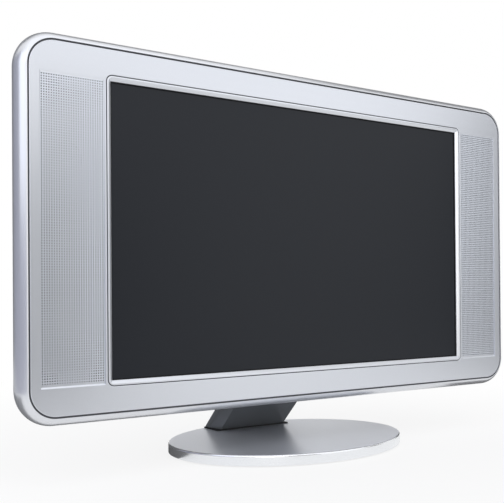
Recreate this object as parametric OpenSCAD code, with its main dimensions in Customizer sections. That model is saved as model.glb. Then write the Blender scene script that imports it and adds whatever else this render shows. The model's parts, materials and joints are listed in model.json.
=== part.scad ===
// Flat screen television with side speakers, on a leaning neck and an oval base.
// Sizes are in millimetres. X runs along the screen, Y from front to back and Z up.
// The origin is on the table, under the middle of the base.

/* [Screen] */
// Visible width of the screen
screen_w = 501; // [485:1:515]
// Visible height of the screen
screen_h = 300.6; // [298:0.1:312]
// Width of the bezel strip around the screen
bezel_strip = 5; // [4.5:0.1:6]
// Width of the sloping part of that strip
bezel_slope = 3.2; // [2.4:0.1:3.6]
// Gap around the bezel
bezel_gap = 0.6; // [0.4:0.1:0.9]
// Corner radius of the bezel
bezel_r = 6; // [4:0.5:8]
// Screen module edge outside the visible screen
lcd_border = 19.5; // [18:0.1:20]
// Depth of the screen module's folded front frame
lcd_side = 13; // [10:0.5:15]
// Thickness of the glass cell
cell_t = 1.6; // [1.2:0.1:2]
// Thickness of the diffuser plate
diffuser_t = 2; // [1.5:0.1:2.5]
// Depth of the lamp tray
tray_d = 13.4; // [12.4:0.1:15]
// Radius of a lamp tube
lamp_r = 2; // [1.5:0.1:2.5]
// Number of lamp tubes
lamp_count = 12; // [8:1:14]

/* [Fascia] */
// Step from the fascia's face back to the screen module
fascia_proud = 3.5; // [3.2:0.1:4]
// Thickness of the fascia
fascia_t = 2.5; // [2.2:0.1:2.8]
// Height of the fascia above and below the bezel
band_h = 27.1; // [26.5:0.1:30]
// Corner radius of the fascia
fascia_r = 27; // [24:0.5:29]
// Width of the fascia outside a grille
side_margin = 12; // [11.6:0.1:14]

/* [Speakers] */
// Width of the fascia between the bezel and a grille
grille_gap = 4.5; // [4.4:0.1:6]
// Width of a grille window
grille_w = 64; // [60:1:68]
// Height of a grille window
grille_h = 302.4; // [286:0.1:303]
// How far a grille's middle lies below the screen's middle
grille_low = 1.2; // [0.6:0.1:1.6]
// Height of the sloping ledge under a grille
grille_ledge = 3.4; // [2:0.1:4]
// How far a grille lies below the fascia's face
grille_sink = 1.2; // [0.8:0.1:1.6]
// Rim of a grille behind the fascia
grille_lip = 1.8; // [1.2:0.1:1.8]
// Clearance of a grille in its window
grille_fit = 0.3; // [0.2:0.05:0.4]
// Spacing of the grille holes
grille_pitch = 7.2; // [6.6:0.1:9]
// Width of a grille hole
grille_hole = 4.4; // [3:0.1:5.4]
// How far a speaker box stops short of each end of its grille
speaker_short = 13.2; // [12.2:0.1:20]
// Depth of a speaker box
speaker_d = 27; // [25:0.5:28]
// Radius of a speaker driver
driver_r = 18.5; // [16:0.5:19]

/* [Rim] */
// Width of the groove between the fascia and the rim
groove_w = 1.6; // [1.2:0.1:2.2]
// How far the rim bulges outside the groove
rim_out = 9.5; // [8.5:0.1:10.5]
// Radius of the rounded rim
rim_r = 19.5; // [19:0.1:20.5]
// Depth of the widest line of the rim behind the screen
rim_mid = 12.4; // [12:0.1:13]
// Wall of the rim
rim_wall = 2.5; // [2:0.1:3]
// Width of the lip behind the fascia
rim_lip = 9; // [8:0.1:9.2]
// Thickness of that lip
rim_lip_t = 2.5; // [2:0.1:3]

/* [Rear cover] */
// Wall of the rear cover
cover_wall = 2.5; // [2.2:0.1:2.8]
// Clearance of the cover inside the rim
cover_gap = 0.3; // [0.2:0.05:0.4]
// Depth where the cover starts inside the rim
cover_front = 16; // [15:0.5:20]
// Depth where the sides start to slope
cover_knee = 29; // [29:0.5:32]
// Depth of the flat back
cover_back = 50; // [49:0.5:54]
// How far the sides slope in
cover_taper = 16; // [12:0.5:18]
// Width of the raised middle of the back
bulge_w = 470; // [456:1:476]
// Height of the raised middle
bulge_h = 250; // [246:1:254]
// Depth of the raised middle
bulge_d = 34; // [30:0.5:40]
// How far the raised middle slopes in
bulge_taper = 18; // [12:0.5:22]
// Height of the raised middle's centre above the screen's centre
bulge_up = 8; // [6:0.5:10]
// Width of a vent slot
vent_w = 3; // [2:0.1:3.8]
// Length of a vent slot
vent_h = 24; // [18:0.5:26]
// Spacing of the vent slots
vent_pitch = 8; // [7:0.5:12]

/* [Wall mount] */
// Spacing of the wall mount holes
vesa_pitch = 100; // [100:1:102]
// Radius of a wall mount hole
vesa_r = 2; // [1.7:0.1:2.6]
// Radius of a wall mount post
vesa_post_r = 6; // [5:0.5:7]

/* [Boards] */
// Thickness of the chassis plate
chassis_t = 1.5; // [1.2:0.1:2]
// Thickness of a circuit board
pcb_t = 1.6; // [1.2:0.1:2]
// Height of a board standoff
standoff_h = 8; // [6:0.5:10]
// Width of the main board and of the power board
board_w = 150; // [140:1:154]
// Height of those two boards
board_h = 170; // [160:1:176]

/* [Sockets] */
// Width of a video socket
scart_w = 20; // [18:0.5:22]
// Length of a video socket
scart_l = 56; // [52:0.5:58]
// Wall of a video socket
scart_wall = 2.2; // [1.6:0.1:2.6]
// Depth of a video socket's well
scart_well = 10; // [8:0.5:12]
// Radius of the aerial socket's bore
aerial_r = 4.75; // [4.5:0.05:5]
// Radius of the headphone socket's bore
phones_r = 1.8; // [1.75:0.05:1.9]
// Width of the mains inlet
inlet_w = 28; // [26:0.5:30]
// Height of the mains inlet
inlet_h = 20; // [19:0.5:22]
// Depth of the mains inlet's well
inlet_well = 15.5; // [15:0.5:17]
// Clearance around a socket in the cover
socket_gap = 0.6; // [0.4:0.1:1]

/* [Buttons] */
// Length of a button
button_w = 14; // [12:0.5:15]
// Width of a button
button_d = 8; // [7:0.5:9]
// Spacing of the buttons
button_pitch = 20; // [19:0.5:22]
// Height of a button above the cover
button_proud = 1.4; // [1.2:0.1:2]
// Travel of a button
button_travel = 0.8; // [0.5:0.05:0.9]
// Clearance around a button
button_fit = 0.35; // [0.3:0.05:0.5]

/* [Hinge] */
// Distance of the hinge pin behind the flat back
hinge_back = 16; // [15.5:0.1:18]
// Height of the hinge pin above the lowest edge of the rim
hinge_up = 24.9; // [23:0.1:27]
// Radius of the hinge pin
pin_r = 4; // [3.5:0.1:4.5]
// Running clearance of the hinge pin
pin_fit = 0.05; // [0.03:0.01:0.08]
// Thickness of a hinge ear
ear_t = 6; // [5:0.1:7]
// Radius of a hinge ear
ear_r = 12; // [11:0.5:12.5]
// Thickness of a friction washer
washer_t = 1.2; // [1:0.1:1.6]
// Width of the hinge plate
hinge_w = 104; // [100:1:112]
// Height of the hinge plate
hinge_h = 39; // [36:0.5:41]
// Thickness of the hinge plate
hinge_t = 3; // [2.5:0.1:4]

/* [Neck] */
// Width of the neck
neck_w = 106; // [100:1:112]
// Width of the neck's front face
neck_front_w = 97; // [92:1:99]
// Thickness of the neck
neck_t = 22.4; // [21.6:0.1:24]
// Wall of the neck covers
neck_wall = 2.2; // [1.8:0.1:2.4]
// Width of the neck's head between the hinge ears
neck_head_w = 68; // [64:1:72]
// Distance of the neck's middle from the rear edge of the base
neck_inset = 23.4; // [23:0.1:26]
// Seam between the two neck covers
neck_seam = 0.3; // [0.2:0.05:0.5]
// Thickness of the steel core
core_t = 5; // [4:0.1:5.4]
// Thickness of the collar on the base
collar_t = 1.5; // [1:0.1:2]
// Edge of the collar outside the neck
collar_edge = 2; // [1.5:0.1:2.5]

/* [Base] */
// Width of the base
base_w = 303; // [296:1:330]
// Depth of the base
base_d = 230; // [226:1:250]
// Height of the base
base_h = 11.5; // [11:0.1:14]
// Wall of the base
base_wall = 2.5; // [2:0.1:2.8]
// Rounding of the upper edge of the base
base_edge = 1.2; // [0.8:0.1:1.6]
// Thickness of the steel weight
weight_t = 4.5; // [4.2:0.1:5]
// Height of the rubber feet
foot_h = 1.5; // [1.2:0.1:2.5]
// Radius of a rubber foot
foot_r = 8; // [7:0.5:9]
// Free height between the base and the rim
under_gap = 44.7; // [42:0.1:48]

/* [Hidden] */
$fn = 48;
// Small overlap for cuts
eps = 0.5;

// Front outline
bezel_w = screen_w + 2 * bezel_strip;
bezel_h = screen_h + 2 * bezel_strip;
fascia_w = bezel_w + 2 * (grille_gap + grille_w + side_margin);
fascia_h = bezel_h + 2 * band_h;
grille_x = bezel_w / 2 + grille_gap + grille_w / 2;
fascia_y0 = -fascia_proud;
fascia_y1 = fascia_y0 + fascia_t;
grille_edge = 1.2;

// Rim section
rim_in = rim_r - rim_out;
rim_h = fascia_h + 2 * rim_out;
lip_mid = fascia_y1 + rim_lip_t / 2;
lip_out = sqrt(pow(rim_r - rim_wall / 2, 2) - pow(rim_mid - lip_mid, 2)) - rim_in;
lip_back = fascia_y1 + rim_lip_t;
gusset_t = 2.5;

// Screen module
lcd_w = screen_w + 2 * lcd_border;
lcd_h = screen_h + 2 * lcd_border;
lcd_t = 1;
lcd_fit = 0.4;
cell_y = lcd_t;
diffuser_y = cell_y + cell_t;
tray_y0 = diffuser_y + diffuser_t;
tray_y1 = tray_y0 + tray_d;
tray_t = 1;
tray_w = lcd_w - 2 * (lcd_t + lcd_fit);
tray_h = lcd_h - 2 * (lcd_t + lcd_fit);
tray_lip = 6;
lamp_y = tray_y1 - tray_t - 5;
holder_w = 9;
lamp_fit = 0.1;

bracket_x = lcd_w / 3;
bracket_w = lcd_w / 18;
bracket_t = 1.5;

// Boards
chassis_y1 = tray_y1 + chassis_t;
chassis_w = 450;
chassis_z0 = -fascia_h / 2 + 22;
chassis_z1 = bulge_up + bulge_h / 2 - 4;
board_y0 = chassis_y1 + standoff_h;
board_y1 = board_y0 + pcb_t;
board_x = vesa_pitch / 2 + vesa_post_r + 6 + board_w / 2;
inverter_w = 230;
inverter_h = 24;
inverter_z = bulge_up + bulge_h / 2 - 22;
hole_in = 5;
coil_pitch = inverter_w * 0.148;
coil_w = coil_pitch * 0.7;
coil_h = inverter_h * 2 / 3;
coil_d = 9;
chip_t = 2;
plug_d = 6;
sink_d = 14;
sink_t = 3;
fin_t = 2;
tuner_d = 13;
can_t = 1.5;
core_d = 24;
choke_d = 18;
// Capacitors: place as shares of the board's width and height, radius and length
capacitors = [[0.32, 0.27, 14, 30], [0.093, 0.306, 8, 20], [-0.067, 0.306, 8, 20],
              [-0.267, 0.176, 6, 16], [-0.267, 0.059, 6, 16], [-0.267, -0.059, 6, 16]];
// Chips: sides as shares of the board's width and height
chips = [[-0.093, 0.093, 0.259, 0.424], [0.173, 0.307, 0.176, 0.294], [0.173, 0.307, -0.035, 0.047],
         [-0.307, -0.227, 0.118, 0.259]];

// Rear cover
cover_w = fascia_w + groove_w - 2 * cover_gap;
cover_h = fascia_h + groove_w - 2 * cover_gap;
cover_r = fascia_r + groove_w / 2 - cover_gap;
cover_in = cover_back - cover_wall;
back_y = cover_back + bulge_d;
back_in = back_y - cover_wall;
bulge_r = 20;
flat_w = cover_w - 2 * cover_taper;
band_x = (bulge_w / 2 + flat_w / 2) / 2;
well_x = flat_w / 2 - 20;
well_z = grille_h / 2 - 4;
well_r = 4;
boss_r = 5.5;
well_floor = lip_back + gusset_t + 8;
screw_r = 1.6;
screw_head_r = 3.5;
screw_head_t = 2.6;
slot_l = 2;
slot_w = 0.5;

// Speaker boxes
speaker_x0 = lcd_w / 2 + 3;
speaker_x1 = fascia_w / 2 - rim_lip - 5;
speaker_x = (speaker_x0 + speaker_x1) / 2;
speaker_w = speaker_x1 - speaker_x0;
speaker_wall = 2;
speaker_h = grille_h - 2 * speaker_short;
driver_z = speaker_h / 4;

sensor_w = 10;
sensor_h = 11;
sensor_d = 3;
eye_w = 6;

// Sockets
socket_boss = 15;
socket_pcb_y1 = cover_in - socket_boss;
socket_pcb_y0 = socket_pcb_y1 - pcb_t;
socket_top = cover_back + 0.5;
socket_z0 = -134;
socket_z1 = 62;
socket_pcb_w = 56;
scart_z = [-94, -30];
aerial_z = 18;
aerial_wall = 1.6;
phones_z = 44;
phones_wall = 2.4;
inlet_z = -94;
inlet_wall = 1.8;
inlet_flange_w = inlet_w + 20;
inlet_flange_h = inlet_h + 2;
inlet_flange_t = 2;
inlet_screw_x = inlet_w / 2 + 5.4;
blade_l = 9.5;

// Buttons
button_y = (cover_knee + cover_in) / 2;
button_x = 165;
button_count = 6;
top_z = cover_h / 2;
top_in = top_z - cover_wall;
flange_t = 1.2;
flange_w = 1.5;
stem_l = 3.2;
stem_r = 2;
stem_z = top_in - flange_t - stem_l;
switch_gap = button_travel + 0.1;
plunger_h = 1;
switch_h = 3.5;
switch_w = 6;
key_pcb_z = stem_z - switch_gap - plunger_h - switch_h;
key_w = (button_count - 1) * button_pitch + 40;
key_d = 14;
key_boss_x = key_w / 2 - 6;

// Hinge, in the screen's own frame
hinge_y = cover_back + hinge_back;
hinge_z = -rim_h / 2 + hinge_up;
plate_z0 = hinge_z + 7;
plate_z1 = plate_z0 + hinge_h;
bolt_x = 26;
bolt_z = [plate_z0 + 9, plate_z1 - 9];
bolt_r = 2.5;
bolt_fit = 0.2;
bolt_head_r = 4.6;
bolt_head_t = 3;
bolt_key_r = 1.9;
bolt_in = 10;
post_r = 6;
head_half = neck_head_w / 2;
ear_x0 = head_half + washer_t;
ear_x1 = ear_x0 + ear_t;
nut_x0 = ear_x1 + washer_t;
nut_h = 6.5;
nut_r = 7.5;
pin_half = nut_x0 + nut_h + 1;
washer_r = 8.5;

// Heights on the stand
base_z0 = foot_h;
base_z1 = base_z0 + base_h;
base_top_t = 2.4;
weight_z1 = base_z0 + weight_t;
screen_z = base_z1 + under_gap + rim_h / 2;
screen_y = -44.2;

// Neck line, from the hinge pin down to the base
pin_y = screen_y + hinge_y;
pin_z = screen_z + hinge_z;
neck_y = base_d / 2 - neck_inset;
neck_lean = atan((neck_y - pin_y) / (pin_z - base_z1));
neck_cut = (neck_t / 2) / cos(neck_lean);
collar_z1 = base_z1 + collar_t;
collar_y = neck_y - collar_t * tan(neck_lean) / 2;
shoulder = ear_r + 3;
neck_bevel = 4;
barrel_fit = 0.3;
barrel_r = neck_t / 2 - neck_wall - barrel_fit;
core_w = neck_head_w - 2 * (neck_wall + 0.8);
core_fit = 0.4;
core_foot_w = 88;
core_foot_d = 46;
core_foot_t = base_h - base_top_t - weight_t - 0.3;
core_foot_y = base_d / 2 - neck_inset - 9;
neck_screw_x = 32;
neck_screw_y = 15;
cover_screw_x = 20;
cover_screw_z = -52;

// Shared shapes

// Rectangle with true round corners
module round_rect(w, h, r) {
  square([w - 2 * r, h], center = true);
  square([w, h - 2 * r], center = true);
  for (x = [-1, 1], y = [-1, 1])
    translate([x * (w / 2 - r), y * (h / 2 - r)])
      circle(r);
}

// Plate in the plane of the screen, from depth y0 to depth y1
module plate(y0, y1) {
  translate([0, y1, 0])
    rotate([90, 0, 0])
      linear_extrude(y1 - y0)
        children();
}

// Round bar along Y, from depth y0 to depth y1
module rod(x, z, r, y0, y1) {
  translate([x, y0, z])
    rotate([-90, 0, 0])
      cylinder(r = r, h = y1 - y0);
}

// Box given by its two corners
module block(x0, x1, y0, y1, z0, z1) {
  translate([x0, y0, z0])
    cube([x1 - x0, y1 - y0, z1 - z0]);
}

// Moves a piece from the screen's frame to the table's frame
module in_cabinet() {
  translate([0, screen_y, screen_z])
    children();
}

// Moves a piece from the neck's frame, which has the hinge pin as origin and runs up the neck
module on_neck() {
  translate([0, pin_y, pin_z])
    rotate([neck_lean, 0, 0])
      children();
}

// Left and right copies
module both_sides() {
  children();
  mirror([1, 0, 0])
    children();
}

// Oval outline
module oval(w, d) {
  polygon([for (i = [0:95]) [w / 2 * cos(i * 3.75), d / 2 * sin(i * 3.75)]]);
}

// Front of the cabinet

module front_fascia() {
  color([0.78, 0.79, 0.82])
    in_cabinet()
      difference() {
        plate(fascia_y0, fascia_y1)
          difference() {
            round_rect(fascia_w - groove_w, fascia_h - groove_w, fascia_r - groove_w / 2);
            round_rect(bezel_w + 2 * bezel_gap, bezel_h + 2 * bezel_gap, bezel_r + bezel_gap);
            for (x = [-1, 1])
              translate([x * grille_x, -grille_low])
                square([grille_w, grille_h], center = true);
          }
        // Sloping edge around each grille window, with a taller ledge at its foot
        for (x = [-1, 1])
          translate([x * grille_x, 0, -grille_low])
            hull() {
              plate(fascia_y0 - 0.1, fascia_y0)
                translate([0, (grille_edge - grille_ledge) / 2])
                  square([grille_w + 2 * grille_edge, grille_h + grille_edge + grille_ledge], center = true);
              plate(fascia_y0 + grille_sink, fascia_y0 + grille_sink + 0.1)
                square([grille_w, grille_h], center = true);
            }
      }
}

// Rim section, with X outward from the groove and Y as depth
module rim_section() {
  difference() {
    translate([-rim_in, rim_mid])
      circle(rim_r);
    translate([-rim_in, rim_mid])
      circle(rim_r - rim_wall);
    translate([groove_w / 2 - 60, rim_mid - 30])
      square([60, 60]);
  }
  translate([-rim_lip, fascia_y1])
    square([rim_lip + lip_out, rim_lip_t]);
}

module surround_rim() {
  gusset_x = fascia_w / 2 - rim_lip + 2;
  gusset_z = fascia_h / 2 - rim_lip + 2;
  run_x = fascia_w - 2 * fascia_r;
  run_z = fascia_h - 2 * fascia_r;
  color([0.72, 0.73, 0.76])
    in_cabinet()
      difference() {
        union() {
          both_sides()
            translate([fascia_w / 2, 0, -run_z / 2])
              linear_extrude(run_z)
                rim_section();
          for (z = [-1, 1])
            mirror([0, 0, (1 - z) / 2])
              translate([run_x / 2, 0, fascia_h / 2])
                rotate([0, -90, 0])
                  linear_extrude(run_x)
                    rim_section();
          for (x = [0, 1], z = [0, 1])
            mirror([x, 0, 0])
              mirror([0, 0, z])
                translate([run_x / 2, 0, -run_z / 2])
                  rotate([-90, 0, 0])
                    rotate_extrude(angle = 90)
                      translate([fascia_r, 0])
                        rim_section();
          // Corner gussets that take the cover screws
          for (x = [-1, 1], z = [-1, 1])
            translate([x * (well_x + gusset_x) / 2, 0, z * (well_z + gusset_z) / 2])
              plate(lip_back - 0.5, lip_back + gusset_t)
                square([gusset_x - well_x + 12, gusset_z - well_z + 9], center = true);
        }
        for (x = [-1, 1], z = [-1, 1])
          rod(x * well_x, z * well_z, screw_r + 0.1, lip_back - 1, lip_back + gusset_t + 1);
      }
}

module screen_bezel() {
  lip = bezel_gap + grille_lip;
  color([0.8, 0.81, 0.83])
    in_cabinet()
      difference() {
        union() {
          plate(fascia_y0, 0)
            round_rect(bezel_w, bezel_h, bezel_r);
          plate(fascia_y1, 0)
            round_rect(bezel_w + 2 * lip, bezel_h + 2 * lip, bezel_r + lip);
        }
        plate(fascia_y0 - eps, eps)
          square([screen_w, screen_h], center = true);
        hull() {
          plate(fascia_y0 - 0.1, fascia_y0)
            square([screen_w + 2 * bezel_slope, screen_h + 2 * bezel_slope], center = true);
          plate(-0.8, -0.7)
            square([screen_w, screen_h], center = true);
        }
      }
}

// Grille: a sunk field with holes and a rim behind the fascia
module grille() {
  cols = floor((grille_w - 4) / grille_pitch);
  rows = floor((grille_h - 5) / grille_pitch);
  plate(fascia_y0 + grille_sink, 0)
    difference() {
      square([grille_w - 2 * grille_fit, grille_h - 2 * grille_fit], center = true);
      for (i = [0:cols - 1], j = [0:rows - 1])
        translate([(i - (cols - 1) / 2) * grille_pitch, (j - (rows - 1) / 2) * grille_pitch])
          square(grille_hole, center = true);
    }
  plate(fascia_y1, 0)
    difference() {
      square([grille_w + 2 * grille_lip, grille_h + 2 * grille_lip], center = true);
      square([grille_w - 2, grille_h - 2], center = true);
    }
}

module speaker_grille_left() {
  color([0.7, 0.71, 0.74])
    in_cabinet()
      translate([-grille_x, 0, -grille_low])
        grille();
}

module speaker_grille_right() {
  color([0.7, 0.71, 0.74])
    in_cabinet()
      translate([grille_x, 0, -grille_low])
        grille();
}

// Screen module

module lcd_frame() {
  color([0.6, 0.61, 0.63])
    in_cabinet() {
      plate(0, lcd_t)
        difference() {
          square([lcd_w, lcd_h], center = true);
          square([screen_w + 3, screen_h + 3], center = true);
        }
      plate(0, lcd_side)
        difference() {
          square([lcd_w, lcd_h], center = true);
          square([lcd_w - 2 * lcd_t, lcd_h - 2 * lcd_t], center = true);
        }
    }
}

module lcd_cell() {
  color([0.09, 0.09, 0.1])
    in_cabinet()
      plate(cell_y, diffuser_y)
        square([tray_w, tray_h], center = true);
}

module diffuser_plate() {
  color([0.93, 0.93, 0.91])
    in_cabinet()
      plate(diffuser_y, tray_y0)
        square([tray_w - 1, tray_h - 1], center = true);
}

module backlight_tray() {
  color([0.82, 0.83, 0.84])
    in_cabinet()
      difference() {
        plate(tray_y0, tray_y1)
          square([tray_w, tray_h], center = true);
        plate(tray_y0 + tray_t, tray_y1 - tray_t)
          square([tray_w - 2 * tray_t, tray_h - 2 * tray_t], center = true);
        plate(tray_y0 - eps, tray_y0 + tray_t + eps)
          square([tray_w - 2 * tray_lip, tray_h - 2 * tray_lip], center = true);
      }
}

lamp_half = tray_w / 2 - tray_t - 1.5;
function lamp_z(i) = (i - (lamp_count - 1) / 2) * (tray_h - 36) / (lamp_count - 1);

module backlight_lamps() {
  color([0.96, 0.96, 0.93])
    in_cabinet()
      for (i = [0:lamp_count - 1])
        translate([-lamp_half, lamp_y, lamp_z(i)])
          rotate([0, 90, 0])
            cylinder(r = lamp_r, h = 2 * lamp_half);
}

module lamp_holders() {
  color([0.9, 0.9, 0.88])
    in_cabinet()
      both_sides()
        difference() {
          block(lamp_half - holder_w + 1, lamp_half + 1, lamp_y - 4.5, tray_y1 - tray_t,
                -tray_h / 2 + tray_t + 0.5, tray_h / 2 - tray_t - 0.5);
          for (i = [0:lamp_count - 1])
            translate([lamp_half - holder_w, lamp_y, lamp_z(i)])
              rotate([0, 90, 0])
                cylinder(r = lamp_r + lamp_fit, h = holder_w);
        }
}

// Angle pieces between the screen module and the lip of the rim
module lcd_brackets() {
  color([0.66, 0.67, 0.69])
    in_cabinet()
      for (x = [-bracket_x, bracket_x], s = [0, 1])
        mirror([0, 0, s])
          translate([x - bracket_w / 2, 0, 0]) {
            block(0, bracket_w, lip_back, lip_back + bracket_t, lcd_h / 2, fascia_h / 2 - rim_lip / 3);
            block(0, bracket_w, lip_back, lcd_side, lcd_h / 2, lcd_h / 2 + bracket_t);
          }
}

// Boards

function board_holes() = [for (x = [-1, 1], z = [-1, 1])
  [x * (board_w / 2 - hole_in), z * (board_h / 2 - hole_in)]];
function all_holes() = concat(
  [for (p = board_holes()) [p[0] - board_x, p[1] + bulge_up]],
  [for (p = board_holes()) [p[0] + board_x, p[1] + bulge_up]],
  [for (x = [-1, 1]) [x * (inverter_w / 2 - hole_in), inverter_z]]);

module chassis_plate() {
  color([0.64, 0.65, 0.67])
    in_cabinet()
      plate(tray_y1, chassis_y1)
        difference() {
          translate([0, (chassis_z0 + chassis_z1) / 2])
            round_rect(chassis_w, chassis_z1 - chassis_z0, 8);
          for (x = [-1, 1])
            translate([x * board_x, bulge_up])
              round_rect(board_w - 40, board_h - 50, 6);
        }
}

module pcb(w, h) {
  difference() {
    square([w, h], center = true);
    for (x = [-1, 1], z = [-1, 1])
      translate([x * (w / 2 - hole_in), z * (h / 2 - hole_in)])
        circle(1.7);
  }
}

module main_board() {
  color([0.1, 0.36, 0.2])
    in_cabinet()
      translate([-board_x, 0, bulge_up])
        plate(board_y0, board_y1)
          pcb(board_w, board_h);
}

// Box on a board, with its sides as shares of the board's width and height
module block_on_board(s, y0, y1) {
  block(s[0] * board_w, s[1] * board_w, y0, y1, s[2] * board_h, s[3] * board_h);
}

module main_chips() {
  color([0.12, 0.12, 0.13])
    in_cabinet()
      translate([-board_x, board_y1, bulge_up]) {
        for (c = chips)
          block_on_board(c, 0, chip_t);
        block_on_board([-0.08, 0.213, -0.388, -0.341], 0, plug_d);
      }
}

module heat_sink() {
  color([0.55, 0.56, 0.58])
    in_cabinet()
      translate([-board_x, board_y1, bulge_up]) {
        block_on_board([-0.133, 0.133, -0.082, 0.153], 0, sink_t);
        for (i = [0:6])
          translate([(i / 6 - 0.5) * (0.266 * board_w - fin_t) - fin_t / 2, 0, 0])
            block(0, fin_t, sink_t - 0.5, sink_d, -0.082 * board_h, 0.153 * board_h);
      }
}

module tuner_can() {
  color([0.74, 0.75, 0.77])
    in_cabinet()
      translate([-board_x, board_y1, bulge_up])
        difference() {
          block_on_board([-0.427, -0.187, -0.388, -0.106], 0, tuner_d);
          block_on_board([-0.417, -0.197, -0.376, -0.259], tuner_d - can_t, tuner_d + 1);
        }
}

module power_board() {
  color([0.55, 0.42, 0.2])
    in_cabinet()
      translate([board_x, 0, bulge_up])
        plate(board_y0, board_y1)
          pcb(board_w, board_h);
}

module power_transformer() {
  color([0.75, 0.66, 0.25])
    in_cabinet()
      translate([board_x, board_y1, bulge_up]) {
        block_on_board([-0.107, 0.12, -0.106, 0.094], 0, core_d * 0.2);
        block_on_board([-0.12, 0.133, -0.118, 0.106], core_d * 0.2, core_d * 0.5);
        block_on_board([-0.093, 0.107, -0.094, 0.082], core_d * 0.5, core_d);
      }
}

module power_capacitors() {
  color([0.15, 0.16, 0.2])
    in_cabinet()
      translate([board_x, board_y1, bulge_up]) {
        for (c = capacitors)
          rod(c[0] * board_w, c[1] * board_h, c[2], 0, c[3]);
        block_on_board([0.227, 0.4, -0.365, -0.294], 0, choke_d);
      }
}

module inverter_board() {
  color([0.1, 0.36, 0.2])
    in_cabinet()
      translate([0, 0, inverter_z])
        plate(board_y0, board_y1)
          difference() {
            square([inverter_w, inverter_h], center = true);
            for (x = [-1, 1])
              translate([x * (inverter_w / 2 - hole_in), 0])
                circle(1.7);
          }
}

module inverter_coils() {
  color([0.2, 0.2, 0.22])
    in_cabinet()
      translate([0, board_y1, inverter_z])
        for (i = [0:5])
          translate([(i - 2.5) * coil_pitch, 0, 0])
            block(-coil_w / 2, coil_w / 2, 0, coil_d, -coil_h / 2, coil_h / 2);
}

module board_standoffs() {
  color([0.72, 0.6, 0.3])
    in_cabinet()
      for (p = all_holes())
        difference() {
          rod(p[0], p[1], 3, chassis_y1, board_y0);
          rod(p[0], p[1], 1.6, board_y0 - 5, board_y0 + eps);
        }
}

module board_screws() {
  color([0.7, 0.7, 0.72])
    in_cabinet()
      for (p = all_holes()) {
        rod(p[0], p[1], 1.5, board_y0 - 4, board_y1 + 0.5);
        rod(p[0], p[1], 2.8, board_y1, board_y1 + 2);
      }
}

// Speakers

module speaker_box() {
  difference() {
    block(speaker_x0, speaker_x1, 0, speaker_d, -speaker_h / 2, speaker_h / 2);
    block(speaker_x0 + speaker_wall, speaker_x1 - speaker_wall, speaker_wall, speaker_d - speaker_wall,
          -speaker_h / 2 + speaker_wall, speaker_h / 2 - speaker_wall);
    for (z = [-1, 1])
      rod(speaker_x, z * driver_z, driver_r - 2, -1, speaker_wall + 1);
  }
}

// Driver: ring, cone and magnet in one body of revolution
module driver(z) {
  translate([speaker_x, speaker_wall, z])
    rotate([-90, 0, 0])
      rotate_extrude()
        polygon([[0, 4], [5, 3], [driver_r - 3, 0.2], [driver_r - 2, 0], [driver_r, 0], [driver_r, 1.5],
                 [driver_r - 2, 2], [12, 8], [12, 18], [0, 18]]);
}

module speaker_box_left() {
  color([0.13, 0.13, 0.14])
    in_cabinet()
      mirror([1, 0, 0])
        speaker_box();
}

module speaker_box_right() {
  color([0.13, 0.13, 0.14])
    in_cabinet()
      speaker_box();
}

module speaker_drivers_left() {
  color([0.2, 0.2, 0.21])
    in_cabinet()
      mirror([1, 0, 0])
        for (z = [-1, 1])
          driver(z * driver_z);
}

module speaker_drivers_right() {
  color([0.2, 0.2, 0.21])
    in_cabinet()
      for (z = [-1, 1])
        driver(z * driver_z);
}

// Remote sensor, behind the lower end of the right grille
module remote_sensor() {
  color([0.1, 0.36, 0.2])
    in_cabinet()
      translate([speaker_x0 + sensor_w, 0, -speaker_h / 2]) {
        block(-sensor_w / 2, sensor_w / 2, sensor_d, sensor_d + pcb_t, -sensor_h, 0);
        block(-eye_w / 2, eye_w / 2, 0, sensor_d, -sensor_h / 2 - eye_w / 2, -sensor_h / 2 + eye_w / 2);
      }
}

// Rear cover

module cover_shell(inset, y_front, knee, back, rear) {
  r = cover_r - inset;
  plate(y_front, knee)
    round_rect(cover_w - 2 * inset, cover_h - 2 * inset, r);
  hull() {
    plate(knee - 0.5, knee)
      round_rect(cover_w - 2 * inset, cover_h - 2 * inset, r, $fn = 32);
    plate(back - 0.5, back)
      translate([0, cover_taper / 2])
        round_rect(flat_w - 2 * inset, cover_h - cover_taper - 2 * inset, r, $fn = 32);
  }
  hull() {
    plate(back - 4, back - 3.5)
      translate([0, bulge_up])
        round_rect(bulge_w - 2 * inset, bulge_h - 2 * inset, bulge_r - inset, $fn = 32);
    plate(rear - 0.5, rear)
      translate([0, bulge_up])
        round_rect(bulge_w - 2 * (bulge_taper + inset), bulge_h - 2 * (bulge_taper + inset), bulge_r - inset,
                   $fn = 32);
  }
}

vent_n = floor((bulge_w - 30) / vent_pitch);
vent_top_z = (bulge_up + bulge_h / 2 + cover_h / 2) / 2;
vent_low_z = (bulge_up - bulge_h / 2 - cover_h / 2 + cover_taper) / 2;

// Vent slots in the flat back, above and below the raised middle
module vents() {
  for (i = [0:vent_n - 1]) {
    x = (i - (vent_n - 1) / 2) * vent_pitch;
    block(x - vent_w / 2, x + vent_w / 2, cover_in - 1, cover_back + 1,
          vent_top_z - vent_h / 2, vent_top_z + vent_h / 2);
    if (abs(x) > hinge_w / 2 + 10)
      block(x - vent_w / 2, x + vent_w / 2, cover_in - 1, cover_back + 1,
            vent_low_z - vent_h / 2, vent_low_z + vent_h / 2);
  }
}

function button_at(i) = button_x + (i - (button_count - 1) / 2) * button_pitch;

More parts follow.
